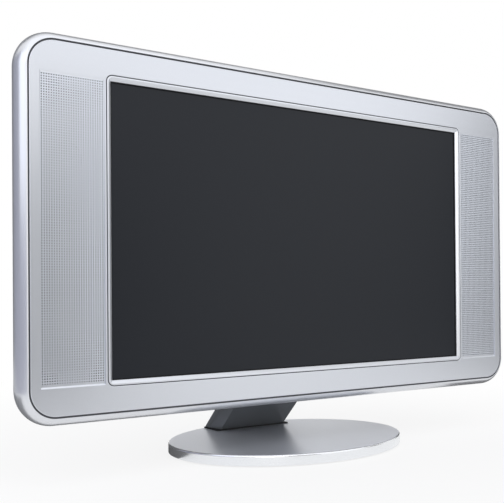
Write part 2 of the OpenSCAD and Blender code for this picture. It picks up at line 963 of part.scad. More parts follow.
module rear_cover() {
  color([0.5, 0.51, 0.54])
    in_cabinet()
      difference() {
        union() {
          difference() {
            cover_shell(0, cover_front, cover_knee, cover_back, back_y);
            cover_shell(cover_wall, cover_front - eps, cover_knee, cover_in, back_in);
          }
          // Wells for the four cover screws
          for (x = [-1, 1], z = [-1, 1])
            rod(x * well_x, z * well_z, boss_r, lip_back + gusset_t, cover_in + 0.5);
          // Bosses for the socket board
          for (x = [-1, 1], z = [socket_z0 + 7, socket_z1 - 7])
            rod(-band_x + x * (socket_pcb_w / 2 - 5), z, 3.5, socket_pcb_y1, cover_in + 0.5);
          // Bosses for the key board
          for (x = [-1, 1])
            translate([button_x + x * key_boss_x, button_y, key_pcb_z])
              cylinder(r = 3.5, h = top_in - key_pcb_z + 0.5);
        }
        for (x = [-1, 1], z = [-1, 1]) {
          rod(x * well_x, z * well_z, well_r, well_floor, cover_back + 1);
          rod(x * well_x, z * well_z, screw_r + 0.2, lip_back, well_floor + 1);
        }
        vents();
        // Wall mount and hinge holes
        for (x = [-1, 1], z = [-1, 1])
          rod(x * vesa_pitch / 2, bulge_up + z * vesa_pitch / 2, vesa_post_r - 1.8, back_in - 1, back_y + 1);
        for (x = [-1, 1], z = bolt_z)
          rod(x * bolt_x, z, bolt_r + bolt_fit, cover_in - 1, cover_back + 1);
        // Openings for the sockets
        for (z = scart_z)
          translate([-band_x, cover_in - 1, z])
            block(-scart_w / 2 - socket_gap, scart_w / 2 + socket_gap, 0, cover_wall + 2,
                  -scart_l / 2 - socket_gap, scart_l / 2 + socket_gap);
        rod(-band_x, aerial_z, aerial_r + aerial_wall + socket_gap, cover_in - 1, cover_back + 1);
        rod(-band_x, phones_z, phones_r + phones_wall + socket_gap, cover_in - 1, cover_back + 1);
        translate([band_x, cover_in - 1, inlet_z])
          block(-inlet_w / 2 - socket_gap, inlet_w / 2 + socket_gap, 0, cover_wall + 2,
                -inlet_h / 2 - socket_gap, inlet_h / 2 + socket_gap);
        for (x = [-1, 1])
          rod(band_x + x * inlet_screw_x, inlet_z, 1.7, cover_in - 1, cover_back + 1);
        // Openings for the buttons
        for (i = [0:button_count - 1])
          block(button_at(i) - button_w / 2 - button_fit, button_at(i) + button_w / 2 + button_fit,
                button_y - button_d / 2 - button_fit, button_y + button_d / 2 + button_fit,
                top_in - 1, top_z + 1);
      }
}

module cover_screws() {
  color([0.2, 0.2, 0.21])
    in_cabinet()
      for (x = [-1, 1], z = [-1, 1])
        difference() {
          union() {
            rod(x * well_x, z * well_z, screw_r, lip_back + 0.3, well_floor + 0.5);
            rod(x * well_x, z * well_z, screw_head_r, well_floor, well_floor + screw_head_t);
          }
          // Cross slot
          translate([x * well_x, well_floor + screw_head_t / 2, z * well_z]) {
            block(-slot_l, slot_l, 0, screw_head_t, -slot_w, slot_w);
            block(-slot_w, slot_w, 0, screw_head_t, -slot_l, slot_l);
          }
        }
}

module vesa_posts() {
  color([0.7, 0.71, 0.73])
    in_cabinet()
      for (x = [-1, 1], z = [-1, 1])
        difference() {
          union() {
            rod(x * vesa_pitch / 2, bulge_up + z * vesa_pitch / 2, vesa_post_r, chassis_y1, back_in);
            rod(x * vesa_pitch / 2, bulge_up + z * vesa_pitch / 2, vesa_post_r - 2, back_in - 1, back_y);
          }
          rod(x * vesa_pitch / 2, bulge_up + z * vesa_pitch / 2, vesa_r, back_y - 16, back_y + 1);
        }
}

// Sockets

module socket_board() {
  color([0.1, 0.36, 0.2])
    in_cabinet()
      translate([-band_x, 0, (socket_z0 + socket_z1) / 2])
        plate(socket_pcb_y0, socket_pcb_y1)
          square([socket_pcb_w, socket_z1 - socket_z0], center = true);
}

module video_sockets() {
  color([0.1, 0.1, 0.11])
    in_cabinet()
      for (z = scart_z)
        translate([-band_x, 0, z])
          difference() {
            block(-scart_w / 2, scart_w / 2, socket_pcb_y1, socket_top, -scart_l / 2, scart_l / 2);
            difference() {
              block(-scart_w / 2 + scart_wall, scart_w / 2 - scart_wall,
                    socket_top - scart_well, socket_top + 1,
                    -scart_l / 2 + scart_wall + 1.5, scart_l / 2 - scart_wall - 1.5);
              // Sloping corner of the well
              translate([scart_w / 2 - scart_wall, 0, scart_l / 2 - scart_wall - 1.5])
                rotate([0, 45, 0])
                  translate([-3, socket_top - scart_well - 1, -3])
                    cube([6, scart_well + 3, 6]);
            }
          }
}

module aerial_socket() {
  color([0.78, 0.78, 0.8])
    in_cabinet()
      difference() {
        rod(-band_x, aerial_z, aerial_r + aerial_wall, socket_pcb_y1, socket_top + 3);
        rod(-band_x, aerial_z, aerial_r, socket_top - 9, socket_top + 4);
      }
}

module headphone_socket() {
  color([0.1, 0.1, 0.11])
    in_cabinet()
      difference() {
        rod(-band_x, phones_z, phones_r + phones_wall, socket_pcb_y1, socket_top);
        rod(-band_x, phones_z, phones_r, socket_top - 14, socket_top + 1);
      }
}

module mains_inlet() {
  y1 = cover_back + inlet_flange_t;
  color([0.1, 0.1, 0.11])
    in_cabinet()
      translate([band_x, 0, inlet_z]) {
        difference() {
          union() {
            block(-inlet_flange_w / 2, inlet_flange_w / 2, cover_back, y1,
                  -inlet_flange_h / 2, inlet_flange_h / 2);
            block(-inlet_w / 2, inlet_w / 2, y1 - inlet_well - 3, y1, -inlet_h / 2, inlet_h / 2);
          }
          block(-inlet_w / 2 + inlet_wall, inlet_w / 2 - inlet_wall, y1 - inlet_well, y1 + 1,
                -inlet_h / 2 + inlet_wall, inlet_h / 2 - inlet_wall);
          for (x = [-1, 1])
            rod(x * inlet_screw_x, 0, 1.7, cover_back - 1, y1 + 1);
        }
        for (p = [[-7, -2], [0, 2], [7, -2]])
          block(p[0] - 1, p[0] + 1, y1 - inlet_well - 0.5, y1 - inlet_well + blade_l, p[1] - 2, p[1] + 2);
      }
}

module inlet_screws() {
  y1 = cover_back + inlet_flange_t;
  color([0.7, 0.7, 0.72])
    in_cabinet()
      for (x = [-1, 1])
        difference() {
          union() {
            rod(band_x + x * inlet_screw_x, inlet_z, 1.5, cover_in - 3, y1 + 0.5);
            rod(band_x + x * inlet_screw_x, inlet_z, 2.8, y1, y1 + 1.8);
          }
          translate([band_x + x * inlet_screw_x, y1 + 1, inlet_z])
            block(-slot_l, slot_l, 0, 2, -slot_w, slot_w);
        }
}

// Buttons

module key_board() {
  color([0.1, 0.36, 0.2])
    in_cabinet() {
      block(button_x - key_w / 2, button_x + key_w / 2, button_y - key_d / 2, button_y + key_d / 2,
            key_pcb_z - pcb_t, key_pcb_z);
      for (i = [0:button_count - 1]) {
        block(button_at(i) - switch_w / 2, button_at(i) + switch_w / 2, button_y - switch_w / 2,
              button_y + switch_w / 2, key_pcb_z - 0.5, key_pcb_z + switch_h);
        translate([button_at(i), button_y, key_pcb_z + switch_h - 0.5])
          cylinder(r = 1.7, h = plunger_h + 0.5);
      }
    }
}

// Button: cap, retaining flange under the cover and stem above its switch
module button(i) {
  color([0.62, 0.63, 0.66])
    in_cabinet()
      translate([button_at(i), button_y, 0]) {
        block(-button_w / 2, button_w / 2, -button_d / 2, button_d / 2,
              top_in - flange_t, top_z + button_proud);
        block(-button_w / 2 - flange_w, button_w / 2 + flange_w,
              -button_d / 2 - flange_w, button_d / 2 + flange_w, top_in - flange_t, top_in);
        translate([0, 0, stem_z])
          cylinder(r = stem_r, h = stem_l + 0.5);
      }
}

module volume_down_button() { button(0); }
module volume_up_button() { button(1); }
module menu_button() { button(2); }
module channel_down_button() { button(3); }
module channel_up_button() { button(4); }
module power_button() { button(5); }

// Hinge

module ear_outline() {
  translate([hinge_y, hinge_z])
    circle(ear_r);
  polygon([[cover_back, plate_z1], [cover_back, plate_z0],
           [hinge_y - ear_r * cos(30), hinge_z - ear_r * sin(30)],
           [hinge_y + ear_r * cos(30), hinge_z + ear_r * sin(30)]]);
}

module hinge_plate() {
  color([0.3, 0.3, 0.32])
    in_cabinet()
      difference() {
        union() {
          plate(cover_back, cover_back + hinge_t)
            translate([0, (plate_z0 + plate_z1) / 2])
              round_rect(hinge_w, hinge_h, 4);
          both_sides()
            translate([ear_x0, 0, 0])
              rotate([90, 0, 90])
                linear_extrude(ear_t)
                  ear_outline();
        }
        translate([-ear_x1 - 1, hinge_y, hinge_z])
          rotate([0, 90, 0])
            cylinder(r = pin_r + pin_fit, h = 2 * ear_x1 + 2);
        for (x = [-1, 1], z = bolt_z)
          rod(x * bolt_x, z, bolt_r + bolt_fit, cover_back - 1, cover_back + hinge_t + 1);
      }
}

module hinge_posts() {
  color([0.7, 0.71, 0.73])
    in_cabinet()
      for (x = [-1, 1], z = bolt_z)
        difference() {
          rod(x * bolt_x, z, post_r, chassis_y1, cover_in);
          rod(x * bolt_x, z, bolt_r + 0.1, cover_in - bolt_in - 2, cover_in + 1);
        }
}

module hinge_bolts() {
  y1 = cover_back + hinge_t;
  color([0.72, 0.72, 0.74])
    in_cabinet()
      for (x = [-1, 1], z = bolt_z)
        difference() {
          union() {
            rod(x * bolt_x, z, bolt_r, cover_in - bolt_in, y1 + 0.5);
            rod(x * bolt_x, z, bolt_head_r, y1, y1 + bolt_head_t);
          }
          translate([x * bolt_x, y1 + bolt_head_t * 0.4, z])
            rotate([-90, 0, 0])
              cylinder(r = bolt_key_r, h = bolt_head_t, $fn = 6);
        }
}

module hinge_pin() {
  color([0.75, 0.75, 0.77])
    translate([-pin_half, pin_y, pin_z])
      rotate([0, 90, 0])
        cylinder(r = pin_r, h = 2 * pin_half);
}

module ring_x(x0, x1, r_out, r_in) {
  translate([x0, pin_y, pin_z])
    rotate([0, 90, 0])
      difference() {
        cylinder(r = r_out, h = x1 - x0);
        translate([0, 0, -1])
          cylinder(r = r_in, h = x1 - x0 + 2);
      }
}

module hinge_washers() {
  color([0.78, 0.68, 0.4])
    both_sides() {
      ring_x(head_half, ear_x0, washer_r, pin_r + pin_fit);
      ring_x(ear_x1, nut_x0, washer_r, pin_r + pin_fit);
    }
}

module hinge_nuts() {
  color([0.68, 0.68, 0.7])
    both_sides()
      translate([nut_x0, pin_y, pin_z])
        rotate([0, 90, 0])
          difference() {
            cylinder(r = nut_r, h = nut_h, $fn = 6);
            translate([0, 0, -1])
              cylinder(r = pin_r + pin_fit, h = nut_h + 2);
          }
}

// Neck

module below(z) {
  translate([-200, -200, z - 300])
    cube([400, 400, 300]);
}

// Neck section across its length; inset makes the hollow
module neck_section(inset) {
  f = neck_front_w / 2 - inset;
  s = neck_w / 2 - inset;
  t = neck_t / 2 - inset;
  polygon([[-f, -t], [f, -t], [s, neck_bevel], [s, t], [-s, t], [-s, neck_bevel]]);
}

module neck_solid(inset, head_inset) {
  on_neck() {
    translate([0, 0, -200])
      linear_extrude(200 - shoulder - inset)
        neck_section(inset);
    block(-head_half + 0.5 + head_inset, head_half - 0.5 - head_inset,
          -neck_t / 2 + inset, neck_t / 2 - inset, -shoulder - 10, 0);
    translate([-head_half + 0.5, 0, 0])
      rotate([0, 90, 0])
        cylinder(r = neck_t / 2 - inset, h = 2 * head_half - 1);
  }
}

module neck_shell() {
  difference() {
    neck_solid(0, 0);
    neck_solid(neck_wall, neck_wall);
    on_neck()
      translate([-head_half, 0, 0])
        rotate([0, 90, 0])
          cylinder(r = neck_t / 2 - neck_wall, h = 2 * head_half);
    below(collar_z1);
  }
}

module neck_half(y0, y1) {
  intersection() {
    neck_shell();
    on_neck()
      block(-100, 100, y0, y1, -200, 40);
  }
}

module neck_front_cover() {
  color([0.27, 0.27, 0.29]) {
    neck_half(-60, neck_bevel - neck_seam / 2);
    // Pads against the steel core
    on_neck()
      for (x = [-1, 1])
        rod(x * cover_screw_x, cover_screw_z, 4, -neck_t / 2 + neck_wall - 0.5, -core_t / 2);
  }
}

module neck_rear_cover() {
  color([0.25, 0.25, 0.27])
    difference() {
      union() {
        neck_half(neck_bevel + neck_seam / 2, 60);
        on_neck()
          for (x = [-1, 1])
            rod(x * cover_screw_x, cover_screw_z, 5.2, core_t / 2, neck_t / 2 - neck_wall + 0.5);
      }
      on_neck()
        for (x = [-1, 1]) {
          rod(x * cover_screw_x, cover_screw_z, screw_r + 0.15, 0, neck_t / 2 + 1);
          rod(x * cover_screw_x, cover_screw_z, 3.4, neck_t / 2 - 3, neck_t / 2 + 1);
        }
    }
}

module neck_screws() {
  color([0.2, 0.2, 0.21]) {
    on_neck()
      for (x = [-1, 1])
        difference() {
          union() {
            rod(x * cover_screw_x, cover_screw_z, screw_r, -core_t / 2 + 0.5, neck_t / 2 - 2.5);
            rod(x * cover_screw_x, cover_screw_z, 3, neck_t / 2 - 3, neck_t / 2 - 0.8);
          }
          translate([x * cover_screw_x, neck_t / 2 - 1.8, cover_screw_z])
            block(-slot_l, slot_l, 0, 2, -slot_w, slot_w);
        }
    for (x = [-1, 1], y = [-1, 1])
      translate([x * neck_screw_x, core_foot_y + y * neck_screw_y, base_z0 + 0.4]) {
        cylinder(r = 4.5, h = 2.2);
        cylinder(r = 2.5, h = weight_t + core_foot_t - 1);
      }
  }
}

// Flat blade of the steel core; grow adds a clearance around it
module core_blade(grow) {
  on_neck()
    block(-core_w / 2 - grow, core_w / 2 + grow, -core_t / 2 - grow, core_t / 2 + grow, -200, 0);
}

module neck_bracket() {
  color([0.4, 0.4, 0.42])
    difference() {
      union() {
        difference() {
          core_blade(0);
          below(weight_z1 + core_foot_t / 2);
        }
        on_neck()
          translate([-head_half, 0, 0])
            rotate([0, 90, 0])
              cylinder(r = barrel_r, h = 2 * head_half);
        translate([0, core_foot_y, weight_z1])
          linear_extrude(core_foot_t)
            round_rect(core_foot_w, core_foot_d, 6);
      }
      on_neck() {
        translate([-head_half - 1, 0, 0])
          rotate([0, 90, 0])
            cylinder(r = pin_r + pin_fit, h = 2 * head_half + 2);
        for (x = [-1, 1])
          rod(x * cover_screw_x, cover_screw_z, screw_r + 0.1, -core_t, core_t);
      }
      for (x = [-1, 1], y = [-1, 1])
        translate([x * neck_screw_x, core_foot_y + y * neck_screw_y, weight_z1 - 1])
          cylinder(r = 2.6, h = core_foot_t + 2);
    }
}

// Collar: thin plate on the base, under the neck covers
module neck_collar() {
  color([0.06, 0.06, 0.065])
    difference() {
      translate([0, 0, base_z1])
        linear_extrude(collar_t)
          intersection() {
            translate([0, collar_y])
              square([neck_w + 2 * collar_edge, 2 * (neck_cut + collar_edge)], center = true);
            oval(base_w - 2 * base_edge - 0.4, base_d - 2 * base_edge - 0.4);
          }
      core_blade(core_fit);
    }
}

// Base

base_screw_at = [[-base_w / 2 + 26, 0], [base_w / 2 - 26, 0], [0, -base_d / 2 + 24]];
foot_at = [for (a = [35, 145, 215, 325]) [(base_w / 2 - 22) * cos(a), (base_d / 2 - 20) * sin(a)]];

module base_cover() {
  color([0.74, 0.75, 0.78])
    difference() {
      union() {
        difference() {
          union() {
            translate([0, 0, base_z0])
              linear_extrude(base_h - base_edge)
                oval(base_w, base_d);
            hull() {
              translate([0, 0, base_z1 - base_edge - 0.1])
                linear_extrude(0.1)
                  oval(base_w, base_d);
              translate([0, 0, base_z1 - 0.1])
                linear_extrude(0.1)
                  oval(base_w - 2 * base_edge, base_d - 2 * base_edge);
            }
          }
          translate([0, 0, base_z0 - 1])
            linear_extrude(base_h - base_top_t + 1)
              oval(base_w - 2 * base_wall, base_d - 2 * base_wall);
        }
        for (p = base_screw_at)
          translate([p[0], p[1], weight_z1])
            cylinder(r = 5, h = base_z1 - base_top_t - weight_z1 + 0.5);
      }
      for (p = base_screw_at)
        translate([p[0], p[1], weight_z1 - 1])
          cylinder(r = screw_r + 0.1, h = 4);
      core_blade(core_fit);
    }
}

module base_weight() {
  color([0.35, 0.35, 0.37])
    difference() {
      translate([0, 0, base_z0])
        linear_extrude(weight_t)
          oval(base_w - 2 * base_wall - 0.8, base_d - 2 * base_wall - 0.8);
      for (x = [-1, 1], y = [-1, 1])
        translate([x * neck_screw_x, core_foot_y + y * neck_screw_y, base_z0]) {
          translate([0, 0, -1])
            cylinder(r = 2.7, h = weight_t + 2);
          translate([0, 0, -1])
            cylinder(r = 4.8, h = 3.6);
        }
      for (p = base_screw_at)
        translate([p[0], p[1], base_z0]) {
          translate([0, 0, -1])
            cylinder(r = screw_r + 0.2, h = weight_t + 2);
          translate([0, 0, -1])
            cylinder(r = 3.6, h = 3);
        }
    }
}

module base_screws() {
  color([0.7, 0.7, 0.72])
    for (p = base_screw_at)
      translate([p[0], p[1], base_z0 + 0.3]) {
        cylinder(r = 3.3, h = 1.7);
        cylinder(r = screw_r, h = weight_t + 2);
      }
}

module rubber_feet() {
  color([0.08, 0.08, 0.085])
    for (p = foot_at)
      translate([p[0], p[1], 0])
        cylinder(r = foot_r, h = foot_h);
}

front_fascia();
surround_rim();
screen_bezel();
speaker_grille_left();
speaker_grille_right();
lcd_frame();
lcd_cell();
diffuser_plate();
backlight_lamps();
lamp_holders();
backlight_tray();
lcd_brackets();
chassis_plate();
main_board();
main_chips();
heat_sink();
tuner_can();
power_board();
power_transformer();
power_capacitors();
inverter_board();
inverter_coils();
board_standoffs();
board_screws();
speaker_box_left();
speaker_box_right();
speaker_drivers_left();
speaker_drivers_right();
remote_sensor();
rear_cover();
cover_screws();
vesa_posts();
socket_board();
video_sockets();
aerial_socket();
headphone_socket();
mains_inlet();
inlet_screws();
key_board();
volume_down_button();
volume_up_button();
menu_button();
channel_down_button();
channel_up_button();
power_button();
hinge_plate();
hinge_posts();
hinge_bolts();
hinge_pin();
hinge_washers();
hinge_nuts();
neck_bracket();
neck_front_cover();
neck_rear_cover();
neck_screws();
neck_collar();
base_cover();
base_weight();
base_screws();
rubber_feet();
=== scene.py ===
import json
from math import atan2, cos, pi, radians, sin, sqrt
import bpy
import bmesh
from mathutils import Matrix, Vector


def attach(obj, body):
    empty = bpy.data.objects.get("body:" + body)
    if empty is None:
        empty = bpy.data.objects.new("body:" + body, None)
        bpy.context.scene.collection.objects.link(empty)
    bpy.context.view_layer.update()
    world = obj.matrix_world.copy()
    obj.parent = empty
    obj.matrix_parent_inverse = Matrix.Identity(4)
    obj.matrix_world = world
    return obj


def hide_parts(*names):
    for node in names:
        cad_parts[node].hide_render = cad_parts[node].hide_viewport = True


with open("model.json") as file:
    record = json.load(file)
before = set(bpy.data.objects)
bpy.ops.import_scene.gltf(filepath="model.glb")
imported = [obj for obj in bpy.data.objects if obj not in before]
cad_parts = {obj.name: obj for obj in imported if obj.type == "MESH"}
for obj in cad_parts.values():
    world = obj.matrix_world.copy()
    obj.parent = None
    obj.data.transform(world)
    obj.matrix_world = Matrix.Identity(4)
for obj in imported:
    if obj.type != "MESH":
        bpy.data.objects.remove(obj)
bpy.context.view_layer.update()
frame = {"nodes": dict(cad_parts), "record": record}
nodes = frame["nodes"]
scene = bpy.context.scene
print("frame loaded:", len(nodes), "nodes")

# Small helpers

mm = 0.001
onePoint = 1e-6  # points closer than this, in metres, are joined
screenMiddle = Vector((0.0, -44.2, 249.6))  # middle of the screen's front plane, in mm
bothSides = ((-1, "Left"), (1, "Right"))
fourCorners = [(sx, sz) for sx in (-1, 1) for sz in (-1, 1)]


def fromScreen(x, y, z):
    return Vector((x, y, z)) + screenMiddle


def linear(hexValue):
    parts = [int(hexValue[i:i + 2], 16) / 255 for i in (1, 3, 5)]
    return tuple(p / 12.92 if p <= 0.04045 else ((p + 0.055) / 1.055) ** 2.4 for p in parts) + (1.0,)


# Adds a node with its settings and links. Sockets that share a name are picked by number:
# in a Mix node 0 is the share, 2 and 3 are the numbers and 6 and 7 the colours that it mixes.
def addNode(tree, kind, settings=None, links=None):
    node = tree.nodes.new(kind)
    for key, value in (settings or {}).items():
        if isinstance(key, int) or key in node.inputs:
            node.inputs[key].default_value = value
        else:
            setattr(node, key, value)
    for key, source in (links or {}).items():
        tree.links.new(source, node.inputs[key])
    return node


def newMaterial(name, shaderSettings):
    material = bpy.data.materials.new(name)
    material.use_nodes = True
    tree = material.node_tree
    shader = tree.nodes["Principled BSDF"]
    for key, value in shaderSettings.items():
        shader.inputs[key].default_value = value
    return material, tree, shader


# Closed loop of a rectangle with round corners, in the plane of the screen
def roundLoop(width, height, radius, steps=8, middleX=0.0, middleZ=0.0):
    radius = max(radius, 0.05)  # never quite sharp, so that the points of a corner stay apart
    points = []
    for cornerX, cornerZ, start in ((1, 1, 0), (-1, 1, 90), (-1, -1, 180), (1, -1, 270)):
        for i in range(steps + 1):
            a = radians(start + 90 * i / steps)
            points.append((middleX + cornerX * (width / 2 - radius) + radius * cos(a),
                           middleZ + cornerZ * (height / 2 - radius) + radius * sin(a)))
    return points


def ringAt(loop, y):  # a loop set at one depth behind the screen
    return [fromScreen(x, y, z) for x, z in loop]


def bend(a, b, c, steps):  # points of a soft corner from a to c, pulled towards b
    points = []
    for i in range(steps + 1):
        t = i / steps
        points.append(tuple((1 - t) ** 2 * p + 2 * t * (1 - t) * q + t * t * r for p, q, r in zip(a, b, c)))
    return points


# Skin through a row of rings that have the same number of points
def loft(rings, joinEnds=False, capFirst=False, capLast=False):
    count = len(rings[0])
    points = [p for ring in rings for p in ring]
    faces = []
    rows = len(rings) if joinEnds else len(rings) - 1
    for j in range(rows):
        here, there = j * count, ((j + 1) % len(rings)) * count
        for i in range(count):
            k = (i + 1) % count
            faces.append((here + i, here + k, there + k, there + i))
    if capFirst:
        faces.append(tuple(range(count - 1, -1, -1)))
    if capLast:
        faces.append(tuple(range((len(rings) - 1) * count, len(rings) * count)))
    return points, faces


def meshFrom(name, shapes):
    whole = bmesh.new()
    for points, faces in shapes:
        made = [whole.verts.new(Vector(p) * mm) for p in points]
        for face in faces:
            whole.faces.new([made[i] for i in face])
    bmesh.ops.remove_doubles(whole, verts=whole.verts, dist=onePoint)
    bmesh.ops.recalc_face_normals(whole, faces=whole.faces)
    mesh = bpy.data.meshes.new(name)
    whole.to_mesh(mesh)
    whole.free()
    return mesh


def newObject(name, data):
    holder = bpy.data.objects.new(name, data)
    scene.collection.objects.link(holder)
    return holder


def finishedMesh(holder):  # mesh of an object with its modifiers or its curve worked out
    return bpy.data.meshes.new_from_object(holder.evaluated_get(bpy.context.evaluated_depsgraph_get()))


def smoothEdges(mesh, angle):
    mesh.polygons.foreach_set("use_smooth", [True] * len(mesh.polygons))
    mesh.set_sharp_from_angle(angle=radians(angle))


# Distance in mm from a loop with round corners, negative inside it
def fromLoop(x, z, width, height, corner):
    sideways, upwards = abs(x) - width / 2 + corner, abs(z) - height / 2 + corner
    return sqrt(max(sideways, 0) ** 2 + max(upwards, 0) ** 2) + min(max(sideways, upwards), 0) - corner


# Gives a second finish to the faces that a test picks by their middle (mm, from the screen) and normal
def paintFaces(piece, material, test):
    mesh = piece.data
    mesh.materials.append(material)
    for face in mesh.polygons:
        if test(face.center / mm - screenMiddle, face.normal):
            face.material_index = len(mesh.materials) - 1


# Puts a finished mesh on its body, with its finish and the nodes that it stands for
def addPiece(name, mesh, body, material, standsFor=(), angle=35):
    piece = newObject(name, mesh)
    smoothEdges(mesh, angle)
    mesh.materials.clear()
    mesh.materials.append(material)
    weighted = piece.modifiers.new("flatFaces", "WEIGHTED_NORMAL")
    weighted.keep_sharp = True
    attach(piece, body)
    if standsFor:
        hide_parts(*standsFor)
    return piece


# Camera

camera = {
    "place": (-0.5959, -0.8081, 0.1854),
    "yaw": 34.03, "pitch": 0.45, "roll": -0.42,
    "focalPixels": 822.5,
    "middlePixel": (252.0, 287.0),
    "imagePixels": (504, 503),
    "sensorMm": 36.0, "nearest": 0.01,
}


def makeCamera(c):
    yaw, pitch, roll = (radians(c[k]) for k in ("yaw", "pitch", "roll"))
    ahead = Vector((sin(yaw) * cos(pitch), cos(yaw) * cos(pitch), sin(pitch)))
    right = Vector((cos(yaw), -sin(yaw), 0))
    up = right.cross(ahead)
    right, up = cos(roll) * right + sin(roll) * up, -sin(roll) * right + cos(roll) * up
    wide, high = c["imagePixels"]
    data = bpy.data.cameras.new("photoCamera")
    data.sensor_width = c["sensorMm"]
    data.lens = c["focalPixels"] / wide * c["sensorMm"]
    data.shift_x = (wide / 2 - c["middlePixel"][0]) / wide
    data.shift_y = (c["middlePixel"][1] - high / 2) / wide
    data.clip_start = c["nearest"]
    holder = newObject("photoCamera", data)
    turn = Matrix((right, up, -ahead)).transposed().to_4x4()
    holder.matrix_world = Matrix.Translation(c["place"]) @ turn
    scene.camera = holder


makeCamera(camera)
print("camera set")

# Finishes

# Silver lacquer sprayed on moulded ABS: fine metal flake in a clear binder, so that light spreads over it
# in a soft broad gloss. Real flake is about 0.03 mm; it is drawn at 0.4 mm so that a trace of it shows.
# The clouds are where the spray lies thicker, and the peel is the slight waviness of a sprayed coat.
silverLacquer = {
    "name": "silverLacquerOnMouldedAbs",
    "dark": "#d3d6dc", "light": "#d9dce2",
    "flakeMm": 0.4, "cloudMm": 90.0, "peelMm": 2.5, "peelDeepMm": 0.02, "peel": 0.02,
    "metallic": 0.75, "roughness": 0.32, "roughnessSpread": 0.02,
}

# The silver pieces, each with what sets its lacquer apart
lacquers = {
    "silver_fascia": silverLacquer,
    # buffed on the rim, which draws brighter lights along its round front
    "silver_rim": dict(silverLacquer, name="silverLacquerPolishedRim",
                       dark="#dbdde1", light="#e0e2e6", metallic=0.7, roughness=0.3),
    # smoother round the screen, so the narrow strip catches a thin light
    "silver_bezel": dict(silverLacquer, name="paleSilverLacquerBezel",
                         dark="#d6d9df", light="#dcdfe4", roughness=0.28),
    # on perforated steel: paler, because the dark holes take light away
    "silver_grille": dict(silverLacquer, name="silverLacquerPerforatedSteel",
                          dark="#dce0e8", light="#e1e5ed", roughness=0.34),
    # satin on the base, which mirrors the neck as a soft dark patch
    "base_silver": dict(silverLacquer, name="satinSilverLacquerBase",
                        dark="#e0e3ea", light="#e5e8ef", metallic=0.76, roughness=0.34),
    # polished on the wall of the base, with a bright front and dark ends; it is paler than the top, a
    # painted highlight on top of its polish
    "baseWallPolishAndHighlight": dict(silverLacquer, name="polishedSilverLacquerEdgeWithPaintedHighlight",
                     dark="#eef0f3", light="#f3f5f7", metallic=0.82, roughness=0.24),
}


def makeLacquer(f):
    material, tree, shader = newMaterial(f["name"], {"Metallic": f["metallic"]})
    place = addNode(tree, "ShaderNodeTexCoord")
    flake = addNode(tree, "ShaderNodeTexVoronoi", {"Scale": 1000 / f["flakeMm"]},
                    {"Vector": place.outputs["Object"]})
    cloud = addNode(tree, "ShaderNodeTexNoise", {"Scale": 1000 / f["cloudMm"], "Detail": 2.0},
                    {"Vector": place.outputs["Object"]})
    peel = addNode(tree, "ShaderNodeTexNoise", {"Scale": 1000 / f["peelMm"], "Detail": 1.0},
                   {"Vector": place.outputs["Object"]})
    speck = addNode(tree, "ShaderNodeSeparateColor", None, {"Color": flake.outputs["Color"]})
    share = addNode(tree, "ShaderNodeMix", {"data_type": "FLOAT", 0: 0.5},
                    {2: speck.outputs["Red"], 3: cloud.outputs["Fac"]})
    tint = addNode(tree, "ShaderNodeMix",
                   {"data_type": "RGBA", 6: linear(f["dark"]), 7: linear(f["light"])},
                   {0: share.outputs[0]})
    spread = f["roughnessSpread"]
    rough = addNode(tree, "ShaderNodeMapRange",
                    {"To Min": f["roughness"] - spread, "To Max": f["roughness"] + spread},
                    {"Value": cloud.outputs["Fac"]})
    relief = addNode(tree, "ShaderNodeBump", {"Strength": f["peel"], "Distance": f["peelDeepMm"] * mm},
                     {"Height": peel.outputs["Fac"]})
    tree.links.new(tint.outputs[2], shader.inputs["Base Color"])
    tree.links.new(rough.outputs["Result"], shader.inputs["Roughness"])
    tree.links.new(relief.outputs["Normal"], shader.inputs["Normal"])
    return material


